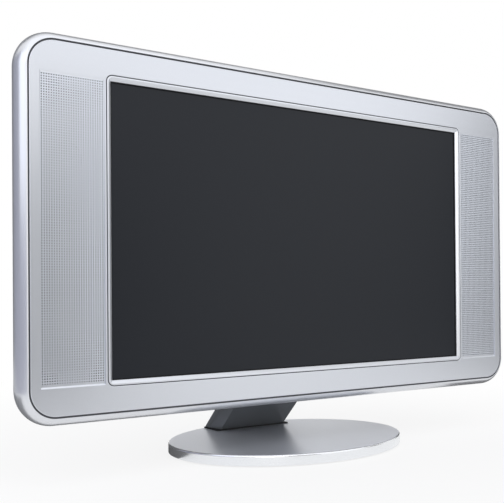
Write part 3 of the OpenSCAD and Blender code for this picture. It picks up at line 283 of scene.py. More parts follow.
# The other finishes are a colour with a fine grain, a roughness that follows it and a little relief.
# grainMm is the spacing of the grain and reliefMm its height. A grain finer than about 0.5 mm
# wouldn't show, so it is drawn at 0.5 mm or more.
plainFinishes = {
    # screen: etched anti-glare film over dark glass, which scatters what it mirrors into an even grey veil;
    # its coating sends back about two thirds of what bare glass would
    "screen_glass": {
        "name": "etchedAntiGlareGlass", "dark": "#0e131b", "light": "#12171f", "grainMm": 0.6,
        "metallic": 0.0, "roughness": (0.38, 0.42), "ior": 1.5, "reliefMm": 0.004, "relief": 0.05,
        "specular": 0.32},
    # neck: moulded ABS under a thin charcoal lacquer with a little metal in it, a dark satin sheen
    "neck_plastic": {
        "name": "satinLacquerOnMouldedAbsCharcoal", "dark": "#6b6e72", "light": "#737679", "grainMm": 0.5,
        "metallic": 0.3, "roughness": (0.28, 0.36), "ior": 1.53, "reliefMm": 0.02, "relief": 0.12},
    # bare moulded ABS where the spray doesn't reach, kept dark as painted shade, which draws the grooves
    # and seams as dark lines
    "bareAbsAndGrooveShade": {
        "name": "bareAbsDarkWithPaintedGrooveShade", "dark": "#5a5c62", "light": "#62646a", "grainMm": 0.5,
        "metallic": 0.0, "roughness": (0.5, 0.6), "ior": 1.53, "reliefMm": 0.02, "relief": 0.15},
    # foam, cut from sheet: black and dull; round the screen it is painted shade, a dark line between the
    # bezel and the screen where the bezel shades it
    "blackFoamAndScreenShade": {
        "name": "closedCellFoamBlackAndScreenShade", "dark": "#08080a", "light": "#0e0e10", "grainMm": 0.8,
        "metallic": 0.0, "roughness": (0.8, 0.92), "ior": 1.4, "reliefMm": 0.05, "relief": 0.3},
    # collar: moulded ABS with a matt tool texture, so black that it reads as a shadow at the neck's foot
    "collar_black": {
        "name": "mattMouldedAbsBlack", "dark": "#0d0d0e", "light": "#161617", "grainMm": 0.5,
        "metallic": 0.0, "roughness": (0.5, 0.6), "ior": 1.53, "reliefMm": 0.02, "relief": 0.15},
    # rear cover: ABS from a spark-eroded tool, an even pebbled matt grain (real 0.3 mm, drawn at 0.9 mm)
    "grey_cover": {
        "name": "sparkErodedAbsGrey", "dark": "#7b7e84", "light": "#8b8e94", "grainMm": 0.9,
        "metallic": 0.0, "roughness": (0.5, 0.64), "ior": 1.53, "reliefMm": 0.06, "relief": 0.35},
    # buttons: moulded ABS from a smoother tool, a little paler and shinier than the cover
    "button_grey": {
        "name": "mouldedAbsButtonGrey", "dark": "#94979d", "light": "#a2a5aa", "grainMm": 0.5,
        "metallic": 0.0, "roughness": (0.36, 0.46), "ior": 1.53, "reliefMm": 0.02, "relief": 0.15},
    # socket bodies: moulded PBT filled with glass fibre, black with paler flecks
    "black_plastic": {
        "name": "glassFilledPbtBlack", "dark": "#131314", "light": "#212224", "grainMm": 0.7,
        "metallic": 0.0, "roughness": (0.42, 0.58), "ior": 1.55, "reliefMm": 0.02, "relief": 0.2},
    # opal acrylic, moulded: an even milky white
    "white_plastic": {
        "name": "opalMouldedAcrylic", "dark": "#e2e2dc", "light": "#ecece8", "grainMm": 1.2,
        "metallic": 0.0, "roughness": (0.38, 0.48), "ior": 1.49, "reliefMm": 0.01, "relief": 0.1},
    # lamp tubes: drawn glass with phosphor inside, warm white under a clear shine
    "lamp_glass": {
        "name": "phosphorCoatedGlassTube", "dark": "#efeee6", "light": "#f7f6f0", "grainMm": 2.0,
        "metallic": 0.0, "roughness": (0.12, 0.2), "ior": 1.5, "reliefMm": 0.004, "relief": 0.05},
    # rolled steel sheet, zinc coated: grey with a soft spangle
    "sheet_steel": {
        "name": "zincCoatedSteelSheet", "dark": "#a4a6aa", "light": "#b9bbbe", "grainMm": 6.0,
        "metallic": 1.0, "roughness": (0.32, 0.45), "reliefMm": 0.01, "relief": 0.1},
    # rolled aluminium sheet: pale and cloudy
    "tray_aluminium": {
        "name": "rolledAluminiumSheet", "dark": "#c6c8ca", "light": "#d3d4d6", "grainMm": 3.0,
        "metallic": 1.0, "roughness": (0.28, 0.4), "reliefMm": 0.01, "relief": 0.08},
    # anodised aluminium, extruded: darker and more even than the sheet
    "sink_aluminium": {
        "name": "anodisedAluminiumExtrusion", "dark": "#83858a", "light": "#96989c", "grainMm": 1.0,
        "metallic": 1.0, "roughness": (0.4, 0.5), "reliefMm": 0.02, "relief": 0.15},
    # tin-plated steel, pressed: bright with broad cloudy patches
    "tin_plate": {
        "name": "tinPlatedSteel", "dark": "#b3b4b6", "light": "#c8c9ca", "grainMm": 4.0,
        "metallic": 1.0, "roughness": (0.25, 0.38), "reliefMm": 0.01, "relief": 0.08},
    # glass-epoxy laminate under green lacquer: a mottle at the spacing of its weave
    "green_board": {
        "name": "glassEpoxyBoardGreen", "dark": "#123f27", "light": "#1c5435", "grainMm": 1.3,
        "metallic": 0.0, "roughness": (0.3, 0.4), "ior": 1.55, "reliefMm": 0.02, "relief": 0.15},
    # pressed phenolic paper: brown with a papery mottle
    "brown_board": {
        "name": "phenolicPaperBoard", "dark": "#7d5a2b", "light": "#936c37", "grainMm": 1.6,
        "metallic": 0.0, "roughness": (0.42, 0.52), "ior": 1.55, "reliefMm": 0.02, "relief": 0.15},
    # PVC sleeve shrunk over the capacitors: smooth dark blue with a soft shine
    "capacitor_sleeve": {
        "name": "shrunkPvcSleeve", "dark": "#1c2030", "light": "#282d40", "grainMm": 1.5,
        "metallic": 0.0, "roughness": (0.26, 0.36), "ior": 1.54, "reliefMm": 0.01, "relief": 0.1},
    # polyester tape wound round the coils: yellow and shiny
    "coil_tape": {
        "name": "polyesterTapeYellow", "dark": "#b89a33", "light": "#caac44", "grainMm": 2.5,
        "metallic": 0.0, "roughness": (0.24, 0.34), "ior": 1.57, "reliefMm": 0.02, "relief": 0.15},
    # turned brass: warm yellow, bright with a fine grain
    "brass": {
        "name": "turnedBrass", "dark": "#b08d4a", "light": "#c3a15c", "grainMm": 1.0,
        "metallic": 1.0, "roughness": (0.24, 0.36), "reliefMm": 0.01, "relief": 0.1},
    # turned steel, zinc plated: cool grey and bright
    "steel": {
        "name": "zincPlatedTurnedSteel", "dark": "#b0b2b5", "light": "#c4c6c8", "grainMm": 0.8,
        "metallic": 1.0, "roughness": (0.24, 0.36), "reliefMm": 0.01, "relief": 0.1},
    # screw steel blacked with oxide: nearly black, with a dull metal gleam
    "black_screw": {
        "name": "blackOxideSteel", "dark": "#1d1d1f", "light": "#2c2c2e", "grainMm": 0.7,
        "metallic": 0.6, "roughness": (0.38, 0.5), "ior": 1.5, "reliefMm": 0.01, "relief": 0.12},
    # speaker cones of pressed paper: black, dull and fibrous
    "driver_paper": {
        "name": "pressedPaperCone", "dark": "#1b1b1c", "light": "#29292a", "grainMm": 1.2,
        "metallic": 0.0, "roughness": (0.7, 0.85), "ior": 1.5, "reliefMm": 0.05, "relief": 0.3},
    # hinge: pressed steel with a baked powder coat, dark grey with a fine orange peel
    "dark_steel": {
        "name": "powderCoatedSteelGraphite", "dark": "#35363a", "light": "#424347", "grainMm": 0.9,
        "metallic": 0.0, "roughness": (0.4, 0.52), "ior": 1.52, "reliefMm": 0.04, "relief": 0.25},
    # feet: moulded rubber, black and dull
    "rubber": {
        "name": "mouldedRubberBlack", "dark": "#19191a", "light": "#232324", "grainMm": 0.8,
        "metallic": 0.0, "roughness": (0.72, 0.86), "ior": 1.52, "reliefMm": 0.03, "relief": 0.2},
}


def makePlain(f):
    settings = {"Metallic": f["metallic"]}
    if "ior" in f:  # the metals keep the default
        settings.update({"IOR": f["ior"], "Specular IOR Level": f.get("specular", 0.5)})
    material, tree, shader = newMaterial(f["name"], settings)
    place = addNode(tree, "ShaderNodeTexCoord")
    grain = addNode(tree, "ShaderNodeTexNoise",
                    {"Scale": 1000 / f["grainMm"], "Detail": 3.0, "Roughness": 0.6},
                    {"Vector": place.outputs["Object"]})
    tint = addNode(tree, "ShaderNodeMix",
                   {"data_type": "RGBA", 6: linear(f["dark"]), 7: linear(f["light"])},
                   {0: grain.outputs["Fac"]})
    rough = addNode(tree, "ShaderNodeMapRange", {"To Min": f["roughness"][0], "To Max": f["roughness"][1]},
                    {"Value": grain.outputs["Fac"]})
    relief = addNode(tree, "ShaderNodeBump", {"Strength": f["relief"], "Distance": f["reliefMm"] * mm},
                     {"Height": grain.outputs["Fac"]})
    tree.links.new(tint.outputs[2], shader.inputs["Base Color"])
    tree.links.new(rough.outputs["Result"], shader.inputs["Roughness"])
    tree.links.new(relief.outputs["Normal"], shader.inputs["Normal"])
    return material


finishes = {slotName: makeLacquer(f) for slotName, f in lacquers.items()}
finishes.update({slotName: makePlain(f) for slotName, f in plainFinishes.items()})
print("finishes made:", len(finishes))

# Front panel

fascia = {
    "width": 670.4, "height": 363.2, "corner": 26.2, "front": -3.5, "thick": 2.5, "edge": 0.7,
    "screenWindow": (512.6, 312.2, 6.8),  # width, height and corner
    "grilleX": 291.8, "grilleWidth": 65.4, "grilleTop": 150.6, "grilleFoot": -152.6, "grilleCorner": 0.3,
    "slope": 0.5, "ledge": 1.6, "windowCorner": 0.4,  # room round a grille, and at its foot
    "sinkTop": 0.06, "sinkFoot": 1.5,  # how deep a grille lies behind the panel's front
    "surround": 0.8, "surroundBack": -1.1, "proud": 0.02, "lap": 0.05,  # sloping frame of a grille window
    "sideTilt": 0.25,
}


def grilleDepth(z):  # the grilles lie almost flush at the top and sink towards the foot
    down = (fascia["grilleTop"] - z) / (fascia["grilleTop"] - fascia["grilleFoot"])
    return fascia["front"] + fascia["sinkTop"] + (fascia["sinkFoot"] - fascia["sinkTop"]) * down


# Flat panel with rounded edges from an outline, which is the first loop, and the windows in it
def panelMesh(name, loops, front, thick, edge):
    curve = bpy.data.curves.new(name, "CURVE")
    curve.dimensions, curve.fill_mode = "2D", "BOTH"
    curve.extrude, curve.bevel_depth, curve.bevel_resolution = (thick / 2 - edge) * mm, edge * mm, 3
    curve.offset = -edge * mm
    for k, loop in enumerate(loops):
        spline = curve.splines.new("POLY")
        spline.points.add(len(loop) - 1)
        ordered = loop if k == 0 else loop[::-1]
        for point, (x, z) in zip(spline.points, ordered):
            point.co = (x * mm, z * mm, 0, 1)
        spline.use_cyclic_u = True
    holder = newObject(name, curve)
    mesh = finishedMesh(holder)
    bpy.data.objects.remove(holder)
    middle = fromScreen(0, front + thick / 2, 0) * mm
    mesh.transform(Matrix.Translation(middle) @ Matrix.Rotation(pi / 2, 4, "X"))
    cleaned = bmesh.new()
    cleaned.from_mesh(mesh)
    bmesh.ops.remove_doubles(cleaned, verts=cleaned.verts, dist=onePoint)
    bmesh.ops.recalc_face_normals(cleaned, faces=cleaned.faces)
    cleaned.to_mesh(mesh)
    cleaned.free()
    return mesh


def makeFascia(f):
    wide = f["grilleWidth"] + 2 * f["slope"]
    top, low = f["grilleTop"] + f["slope"], f["grilleFoot"] - f["ledge"]
    tall, middleZ = top - low, (top + low) / 2
    loops = [roundLoop(f["width"], f["height"], f["corner"], 14), roundLoop(*f["screenWindow"], 6)]
    for side, label in bothSides:
        loops.append(roundLoop(wide, tall, f["windowCorner"], 2, side * f["grilleX"], middleZ))
    mesh = panelMesh("fasciaPanel", loops, f["front"], f["thick"], f["edge"])
    panel = addPiece("fasciaPanel", mesh, "head", finishes["silver_fascia"],
                     ("front_fascia",))
    # the spray doesn't reach the sides of the panel; their dark grey is painted shade in the grooves round
    # it
    paintFaces(panel, finishes["bareAbsAndGrooveShade"], lambda middle, normal: abs(normal.y) < f["sideTilt"])
    # sloping sides of the two grille windows, which deepen towards the foot
    border, front = f["surround"], f["front"] - f["proud"]
    for side, label in bothSides:
        x = side * f["grilleX"]
        outer = roundLoop(wide + 2 * border, tall + 2 * border, border, 2, x, middleZ)
        edge = roundLoop(wide, tall, f["windowCorner"], 2, x, middleZ)
        inner = roundLoop(f["grilleWidth"], f["grilleTop"] - f["grilleFoot"], f["grilleCorner"], 2, x,
                          (f["grilleTop"] + f["grilleFoot"]) / 2)
        sunk = [fromScreen(px, grilleDepth(pz) - f["lap"], pz) for px, pz in inner]
        rings = [ringAt(outer, front), ringAt(edge, front), sunk,
                 ringAt(inner, f["surroundBack"]), ringAt(outer, f["surroundBack"])]
        name = "grilleSurround" + label
        addPiece(name, meshFrom(name, [loft(rings, joinEnds=True)]), "head", finishes["silver_fascia"])


makeFascia(fascia)
print("fascia made")

# Rounded rim around the panel

rim = {
    "grooveWidth": 672.0, "grooveHeight": 364.8, "corner": 27.0,  # middle line of the groove
    "grooveHalf": 0.8, "edge": 0.35, "edgePull": 0.1,
    "centreIn": 10.0, "depth": 12.4, "radius": 19.5, "wall": 2.5,  # round section, centred behind the panel
    "shoulder": 0.4,  # share by which its front half is flattened
    "lip": 9.0, "lipFront": -1.0, "lipBack": 1.5,
    "sprayDeep": 1.2, "sprayThick": 0.25,
    "steps": 22, "innerSteps": 16, "cornerSteps": 18,
}


# The section's points are an offset from the groove's middle line and a depth behind the screen
def makeRim(r):
    centre, depth, edge, steps = r["centreIn"], r["depth"], r["edge"], r["steps"]
    outer, inner = r["radius"], r["radius"] - r["wall"]
    groove = r["grooveHalf"]
    start, end = groove + edge, outer - centre
    reach = sqrt(outer ** 2 - (groove + centre) ** 2)
    first = -sqrt(outer ** 2 - (start + centre) ** 2)
    # front edge by the groove, slightly rounded
    section = bend((groove, depth - reach + 2 * edge), (groove, depth - reach + r["edgePull"]),
                   (start, depth + first), 3)
    # front half: the round section, flattened by its shoulder so that it leaves the panel at a low slope
    for i in range(1, steps + 1):
        a = pi / 2 * i / steps
        u = start + (end - start) * sin(a)
        roundY = -sqrt(max(outer ** 2 - (u + centre) ** 2, 0.0))
        section.append((u, depth + roundY + (first * cos(a) - roundY) * r["shoulder"]))
    # back half, plainly round, and its rear edge
    turn = -atan2(first, start + centre)
    for i in range(1, steps):
        a = turn * i / steps
        section.append((outer * cos(a) - centre, depth + outer * sin(a)))
    section += bend((start, depth - first), (groove, depth + reach - r["edgePull"]),
                    (groove, depth + reach - 2 * edge), 3)
    # inside of the wall, and the lip behind the panel
    lipY = r["lipBack"] - depth
    b0 = atan2(sqrt(inner ** 2 - (groove + centre) ** 2), groove + centre)
    b1 = atan2(lipY, sqrt(inner ** 2 - lipY ** 2))
    for i in range(r["innerSteps"] + 1):
        b = b0 + (b1 - b0) * i / r["innerSteps"]
        section.append((inner * cos(b) - centre, depth + inner * sin(b)))
    sprayEnd = section[0][1] + r["sprayDeep"]
    section += [(-r["lip"], r["lipBack"]), (-r["lip"], r["lipFront"]), (groove, r["lipFront"]),
                (groove, sprayEnd)]
    rings = []
    for u, y in section:
        loop = roundLoop(r["grooveWidth"] + 2 * u, r["grooveHeight"] + 2 * u, r["corner"] + u,
                         r["cornerSteps"])
        rings.append(ringAt(loop, y))
    mesh = meshFrom("rimBead", [loft(rings, joinEnds=True)])
    bead = addPiece("rimBead", mesh, "head", finishes["silver_rim"], ("surround_rim",))

    # the inside and the depth of the groove are bare ABS, dark as painted shade in the groove
    def bareAbsAndGrooveShade(middle, normal):  # the inside, and the depth of the groove
        u = fromLoop(middle.x, middle.z, r["grooveWidth"], r["grooveHeight"], r["corner"])
        fromCentre = sqrt((u + centre) ** 2 + (middle.y - depth) ** 2)
        return middle.y > sprayEnd and fromCentre < outer - r["sprayThick"]

    paintFaces(bead, finishes["bareAbsAndGrooveShade"], bareAbsAndGrooveShade)


makeRim(rim)
print("rim made")

# Bezel strip around the screen

bezel = {
    "screen": (501.0, 300.6), "corner": 6.0, "innerCorner": 0.25,
    "strip": 5.0, "front": -3.5, "edge": 0.4,
    "slope": 3.2, "slopeBack": -0.8,  # the slope from the flat strip down to the screen
    "brow": (0.4, 0.34), "foot": (0.25, 0.3),  # rounding where the slope starts and ends
    "lip": 2.4, "lipFront": -1.0,
    "sprayEnd": -3.0, "sprayThick": 0.2,
}


def makeBezel(b):
    wide, high = b["screen"]
    strip, edge, front, slope, back = b["strip"], b["edge"], b["front"], b["slope"], b["slopeBack"]
    profile = [(strip + b["lip"], 0.0), (strip + b["lip"], b["lipFront"]), (strip, b["lipFront"])]
    profile += bend((strip, front + edge), (strip, front), (strip - edge, front), 3)
    browIn, browBack = b["brow"]
    profile += bend((slope + browIn, front), (slope, front), (slope - browIn, front + browBack), 3)
    footIn, footBack = b["foot"]
    profile += bend((footIn, back - footIn), (0.0, back), (0.0, back + footBack), 2)
    profile += [(0.0, 0.0)]
    rings = []
    for u, y in profile:
        radius = max(b["corner"] - (strip - u), b["innerCorner"]) if u > slope else b["innerCorner"]
        rings.append(ringAt(roundLoop(wide + 2 * u, high + 2 * u, radius, 6), y))
    mesh = meshFrom("bezelStrip", [loft(rings, joinEnds=True)])
    piece = addPiece("bezelStrip", mesh, "head", finishes["silver_bezel"],
                     ("screen_bezel",))

    # the outer side in the seam is bare ABS, dark as painted shade in the seam
    def bareAbsAndGrooveShade(middle, normal):  # the outer side, in the seam
        u = fromLoop(middle.x, middle.z, wide + 2 * strip, high + 2 * strip, b["corner"])
        return middle.y > b["sprayEnd"] and u > -b["sprayThick"]

    paintFaces(piece, finishes["bareAbsAndGrooveShade"], bareAbsAndGrooveShade)


makeBezel(bezel)
print("bezel made")

# Foam: a black ring round the screen behind the bezel, reaching just inside it as painted shade for the
# bezel's shadow, and a strip behind each grille's inner edge

blackFoamAndScreenShade = {"inside": 1.1, "outside": 1.3, "front": 0.1, "back": 0.95, "bevel": (0.4, 0.3), "corner": 0.3}
gasket = {
    "middleX": 264.1, "middleZ": -1.0, "width": 11.6, "height": 303.0, "corner": 0.8,
    # growth and depth, from back to front
    "section": ((0.0, -0.1), (0.0, -0.6), (-0.1, -0.78), (-0.25, -0.85)),
}


# the ring reaches 1.1 mm inside the bezel's opening, a black line that is painted shade for the bezel's
# shadow on the screen
def makeScreenShadeSeal(s):
    wide, high = bezel["screen"]
    inside, outside, front, back = -s["inside"], s["outside"], s["front"], s["back"]
    bevelIn, bevelBack = s["bevel"]
    section = ((outside, back), (outside, front), (inside + bevelIn, front), (inside, front + bevelBack),
               (inside, back))
    rings = [ringAt(roundLoop(wide + 2 * grow, high + 2 * grow, s["corner"], 2), y) for grow, y in section]
    mesh = meshFrom("screenShadeSeal", [loft(rings, joinEnds=True)])
    addPiece("screenShadeSeal", mesh, "head", finishes["blackFoamAndScreenShade"])


def makeGasket(g):
    strips = []
    for side, label in bothSides:
        rings = []
        for grow, y in g["section"]:
            loop = roundLoop(g["width"] + 2 * grow, g["height"] + 2 * grow, g["corner"], 3,
                             side * g["middleX"], g["middleZ"])
            rings.append(ringAt(loop, y))
        strips.append(loft(rings, capFirst=True, capLast=True))
    mesh = meshFrom("moduleGasket", strips)
    addPiece("moduleGasket", mesh, "head", finishes["blackFoamAndScreenShade"])


makeScreenShadeSeal(blackFoamAndScreenShade)
makeGasket(gasket)
print("foam made")

# Perforated grilles

# the spacing of the holes is the photograph's, finer than in the solids
grille = {
    "border": 0.3, "thick": 0.7, "pitch": 2.5, "hole": 1.28,
    "fieldWidth": 65.0, "fieldTop": 149.1, "fieldFoot": -150.9,
}


# Sheet with square holes: a cell is four faces in front, four behind and the four walls of its hole
def perforatedSheet(g, middleX):
    pitch, half = g["pitch"], g["hole"] / 2
    wide, tall = fascia["grilleWidth"] / 2 + g["border"], g["fieldTop"] - g["fieldFoot"]
    cols, rows = round(g["fieldWidth"] / pitch), round(tall / pitch)
    x0, z0 = middleX - cols * pitch / 2, (g["fieldTop"] + g["fieldFoot"] - rows * pitch) / 2
    edgesX = [middleX - wide] + [x0 + i * pitch for i in range(cols + 1)] + [middleX + wide]
    edgesZ = [z0 + j * pitch for j in range(rows + 1)]
    edgesZ = [fascia["grilleFoot"] - g["border"]] + edgesZ + [fascia["grilleTop"] + g["border"]]
    points, faces = [], []
    count = len(edgesX)
    for deeper in (0.0, g["thick"]):
        points += [fromScreen(x, grilleDepth(z) + deeper, z) for z in edgesZ for x in edgesX]
    layer = count * len(edgesZ)
    for j in range(len(edgesZ) - 1):
        for i in range(count - 1):
            a = j * count + i
            corners = (a, a + 1, a + count + 1, a + count)
            if i in (0, count - 2) or j in (0, len(edgesZ) - 2):
                faces += [corners, tuple(c + layer for c in corners[::-1])]
                continue
            x, z = x0 + (i - 0.5) * pitch, z0 + (j - 0.5) * pitch
            first = len(points)
            for deeper in (0.0, g["thick"]):
                points += [fromScreen(x + sx * half, grilleDepth(z) + deeper, z + sz * half)
                           for sx, sz in ((-1, -1), (1, -1), (1, 1), (-1, 1))]
            for k in range(4):
                n = (k + 1) % 4
                faces.append((corners[k], corners[n], first + n, first + k))
                faces.append((corners[n] + layer, corners[k] + layer, first + 4 + k, first + 4 + n))
                faces.append((first + k, first + n, first + 4 + n, first + 4 + k))
    # narrow side round the sheet
    border = list(range(count)) + [j * count + count - 1 for j in range(1, len(edgesZ))]
    border += [(len(edgesZ) - 1) * count + i for i in range(count - 2, -1, -1)]
    border += [j * count for j in range(len(edgesZ) - 2, 0, -1)]
    for k, a in enumerate(border):
        b = border[(k + 1) % len(border)]
        faces.append((b, a, a + layer, b + layer))
    return points, faces


def makeGrilles(g):
    for side, label in bothSides:
        sheet = bpy.data.meshes.new("grilleSheet" + label)
        points, faces = perforatedSheet(g, side * fascia["grilleX"])
        sheet.from_pydata([p * mm for p in points], [], faces)
        sheet.update()
        piece = addPiece("grilleSheet" + label, sheet, "head", finishes["silver_grille"],
                         ("speaker_grille_" + label.lower(),), angle=30)
        # the plain border above and below the holes is sprayed like the panel
        paintFaces(piece, finishes["silver_fascia"],
                   lambda middle, normal: not g["fieldFoot"] < middle.z < g["fieldTop"])


makeGrilles(grille)
print("grilles made")

# Base plate

basePlate = {
    "width": 303.0, "depth": 230.0, "bottom": 1.5, "top": 13.0, "edge": 2.2, "foot": 0.5,
    "underside": 0.985,  # size of the opening underneath, as a share of the plate
    "topTilt": 0.96,  # faces that lie flatter than this belong to the satin top
    "steps": 144,
}


def makeBase(b):
    profile = bend((b["foot"], b["bottom"]), (0.0, b["bottom"]), (0.0, b["bottom"] + b["foot"]), 2)
    profile += bend((0.0, b["top"] - b["edge"]), (0.0, b["top"]), (b["edge"], b["top"]), 8)
    turns = [2 * pi * i / b["steps"] for i in range(b["steps"])]
    rings = []
    for inset, z in profile:
        halfWide, halfDeep = b["width"] / 2 - inset, b["depth"] / 2 - inset
        rings.append([Vector((halfWide * cos(a), halfDeep * sin(a), z)) for a in turns])
    inner = [Vector((p.x * b["underside"], p.y * b["underside"], b["bottom"])) for p in rings[0]]
    mesh = meshFrom("basePlate", [loft([inner] + rings, capLast=True)])
    plate = addPiece("basePlate", mesh, "stand", finishes["base_silver"], ("base_cover",))
    # the wall gets the paler lacquer: its polish, with a painted highlight in its paler colour
    paintFaces(plate, finishes["baseWallPolishAndHighlight"], lambda middle, normal: abs(normal.z) < b["topTilt"])


makeBase(basePlate)
print("base made")

# Rear cover

rearCover = {
    "width": 673.0, "height": 365.8, "corner": 27.5, "wall": 2.5,
    # section from front to back, as a depth behind the screen and an inset from the outline;
    # a soft corner is its two ends with the point between them that pulls it
    "frontEdge": ((16.0, 0.0), (24.5, 0.0)),
    "slopeStart": ((25.0, 0.0), (29.0, 0.0), (33.0, 3.05)),
    "slopeEnd": ((46.0, 12.95), (50.0, 16.0), (50.0, 21.0)),
    "topEdge": ((46.0, 0.0), (50.0, 0.0), (50.0, 4.0)),  # the top has no slope
    "cornerLoss": 0.3, "cornerLeast": 8.0,  # a corner tightens with the inset
    "raised": (470.0, 250.0, 20.0), "raisedUp": 8.0,  # width, height and corner of the raised middle
    "raisedFoot": ((50.0, -4.0), (50.0, 1.9), (55.0, 4.2)),
    "raisedEdge": ((79.0, 15.6), (84.0, 18.0), (84.0, 25.0)),
    "raisedLoss": 0.2, "raisedLeast": 6.0,
}

# Openings of the rear cover. Sizes are width, height and corner; z is above the middle of the screen.
rearOpenings = {
    "backCut": (42.0, 56.0), "raisedCut": (78.0, 90.0),  # depths that the cuts run between
    "vent": (3.0, 24.0, 1.4), "ventPitch": 8.0, "ventCount": 55, "ventTopZ": 157.95, "ventLowZ": -141.95,
    "hingeClear": 62.0,  # the lower vents leave room for the hinge
    "wallMountHole": 8.4, "wallMountHalf": 50.0, "wallMountZ": 8.0,
    "socketX": 277.75,
    "videoSocket": (21.2, 57.2, 1.0), "videoSocketZ": (-94.0, -30.0),
    "aerialHole": 13.9, "aerialZ": 18.0, "headphoneHole": 9.6, "headphoneZ": 44.0,
    "mainsInlet": (29.2, 21.2, 1.0), "mainsZ": -94.0,
    "button": (14.7, 8.7, 0.8), "buttonCount": 6, "buttonFirst": 115.0, "buttonPitch": 20.0,
    "buttonDeep": 38.25, "buttonCut": (176.0, 190.0),
}

# Wells of the four cover screws: places, and a turned section as radius and depth
screwWell = {
    "x": 300.5, "z": 147.2, "bore": 8.0, "steps": 32,
    "section": ((5.5, 48.0), (5.5, 4.0), (1.7, 4.0), (1.7, 12.0), (4.0, 12.0), (4.0, 48.0)),
}


def slotCut(x, z, size, depths, steps=5):
    loop = roundLoop(*size, steps, x, z)
    return loft([ringAt(loop, y) for y in depths], capFirst=True, capLast=True)


def boreCut(x, z, bore, depths):
    return slotCut(x, z, (bore, bore, bore / 2), depths, 8)


def rearCuts(o):
    back = o["backCut"]
    cuts = []
    for i in range(o["ventCount"]):
        x = (i - (o["ventCount"] - 1) / 2) * o["ventPitch"]
        cuts.append(slotCut(x, o["ventTopZ"], o["vent"], back))
        if abs(x) > o["hingeClear"]:
            cuts.append(slotCut(x, o["ventLowZ"], o["vent"], back))
    for sx, sz in fourCorners:
        cuts.append(boreCut(sx * screwWell["x"], sz * screwWell["z"], screwWell["bore"], back))
        cuts.append(boreCut(sx * o["wallMountHalf"], o["wallMountZ"] + sz * o["wallMountHalf"],
                            o["wallMountHole"], o["raisedCut"]))
    for z in o["videoSocketZ"]:
        cuts.append(slotCut(-o["socketX"], z, o["videoSocket"], back, 3))
    cuts.append(boreCut(-o["socketX"], o["aerialZ"], o["aerialHole"], back))
    cuts.append(boreCut(-o["socketX"], o["headphoneZ"], o["headphoneHole"], back))
    cuts.append(slotCut(o["socketX"], o["mainsZ"], o["mainsInlet"], back, 3))
    # the buttons come up through the top
    loop = roundLoop(*o["button"], 3)
    for i in range(o["buttonCount"]):
        x = o["buttonFirst"] + o["buttonPitch"] * i
        rings = [[fromScreen(x + px, o["buttonDeep"] + py, z) for px, py in loop] for z in o["buttonCut"]]
        cuts.append(loft(rings, capFirst=True, capLast=True))
    return cuts


def makeScrewWells(s):
    turns = [2 * pi * i / s["steps"] for i in range(s["steps"])]
    wells = []
    for sx, sz in fourCorners:
        rings = [[fromScreen(sx * s["x"] + radius * cos(a), y, sz * s["z"] + radius * sin(a))
                  for a in turns] for radius, y in s["section"]]
        wells.append(loft(rings, joinEnds=True))
    addPiece("screwWells", meshFrom("screwWells", wells), "head", finishes["grey_cover"])


def makeRearCover(c):
    sides = list(c["frontEdge"]) + bend(*c["slopeStart"], 4)
    tops = [0.0] * len(sides) + [inset for y, inset in bend(*c["topEdge"], 5)]
    sides += bend(*c["slopeEnd"], 5)
    rings = []
    for (y, inset), top in zip(sides, tops):
        corner = max(c["corner"] - inset * c["cornerLoss"], c["cornerLeast"])
        loop = roundLoop(c["width"] - 2 * inset, c["height"] - inset - top, corner, 10,
                         0.0, (inset - top) / 2)
        rings.append(ringAt(loop, y))
    wide, high, corner = c["raised"]
    for y, inset in bend(*c["raisedFoot"], 4) + bend(*c["raisedEdge"], 5):
        radius = max(corner - inset * c["raisedLoss"], c["raisedLeast"])
        loop = roundLoop(wide - 2 * inset, high - 2 * inset, radius, 10, 0.0, c["raisedUp"])
        rings.append(ringAt(loop, y))
    shell = newObject("rearShell", meshFrom("rearShell", [loft(rings, capLast=True)]))
    thicken = shell.modifiers.new("wall", "SOLIDIFY")
    thicken.thickness, thicken.offset, thicken.use_even_offset = c["wall"] * mm, -1.0, True
    cutter = newObject("rearCuts", meshFrom("rearCuts", rearCuts(rearOpenings)))
    cut = shell.modifiers.new("openings", "BOOLEAN")
    cut.operation, cut.object, cut.solver = "DIFFERENCE", cutter, "EXACT"
    final = finishedMesh(shell)
    final.name = "rearShellCut"
    bpy.data.objects.remove(shell)
    bpy.data.objects.remove(cutter)
    makeScrewWells(screwWell)
    addPiece("rearShell", final, "head", finishes["grey_cover"], ("rear_cover",))


makeRearCover(rearCover)
print("rear cover made")

# Softened edges on the solids that keep their own shape, by the width of the softening in mm

sharpAngle = 40
softEdges = {
    0.5: ("neck_front_cover", "neck_rear_cover"),
    0.3: ("neck_collar", "hinge_plate", "volume_down_button", "volume_up_button", "menu_button",
          "channel_down_button", "channel_up_button", "power_button", "mains_inlet", "video_sockets"),
    0.25: ("hinge_pin", "hinge_bolts", "hinge_nuts", "cover_screws", "neck_screws", "base_screws",
           "rubber_feet", "aerial_socket", "headphone_socket", "inlet_screws"),
}

for width, names in softEdges.items():
    for name in names:
        weld = nodes[name].modifiers.new("joinEdges", "WELD")
        weld.merge_threshold = onePoint
        soft = nodes[name].modifiers.new("softEdges", "BEVEL")
        soft.width, soft.segments, soft.limit_method = width * mm, 2, "ANGLE"
        soft.angle_limit = radians(sharpAngle)
        weighted = nodes[name].modifiers.new("flatFaces", "WEIGHTED_NORMAL")
        weighted.keep_sharp = True

# Finishes of the solids

for entry in frame["record"]["subparts"]:
    node = nodes[entry["node"]]
    node.data.materials.clear()
    node.data.materials.append(finishes[entry["material_slot"]])
print("solids finished:", len(nodes))

# Studio, in metres

# paper sweep: white pressed paper, which shows as a plain white ground with a soft shadow round the base;
# the shadow is part of the lit paper, and fades out between shadowNear and shadowFar
floor = {
    "size": 40.0, "dark": "#efefef", "light": "#f3f3f3", "grainMm": 1.11,
    "shadowShare": 0.2, "shadowNear": 0.25, "shadowFar": 0.9,
}

worldLight = 0.8

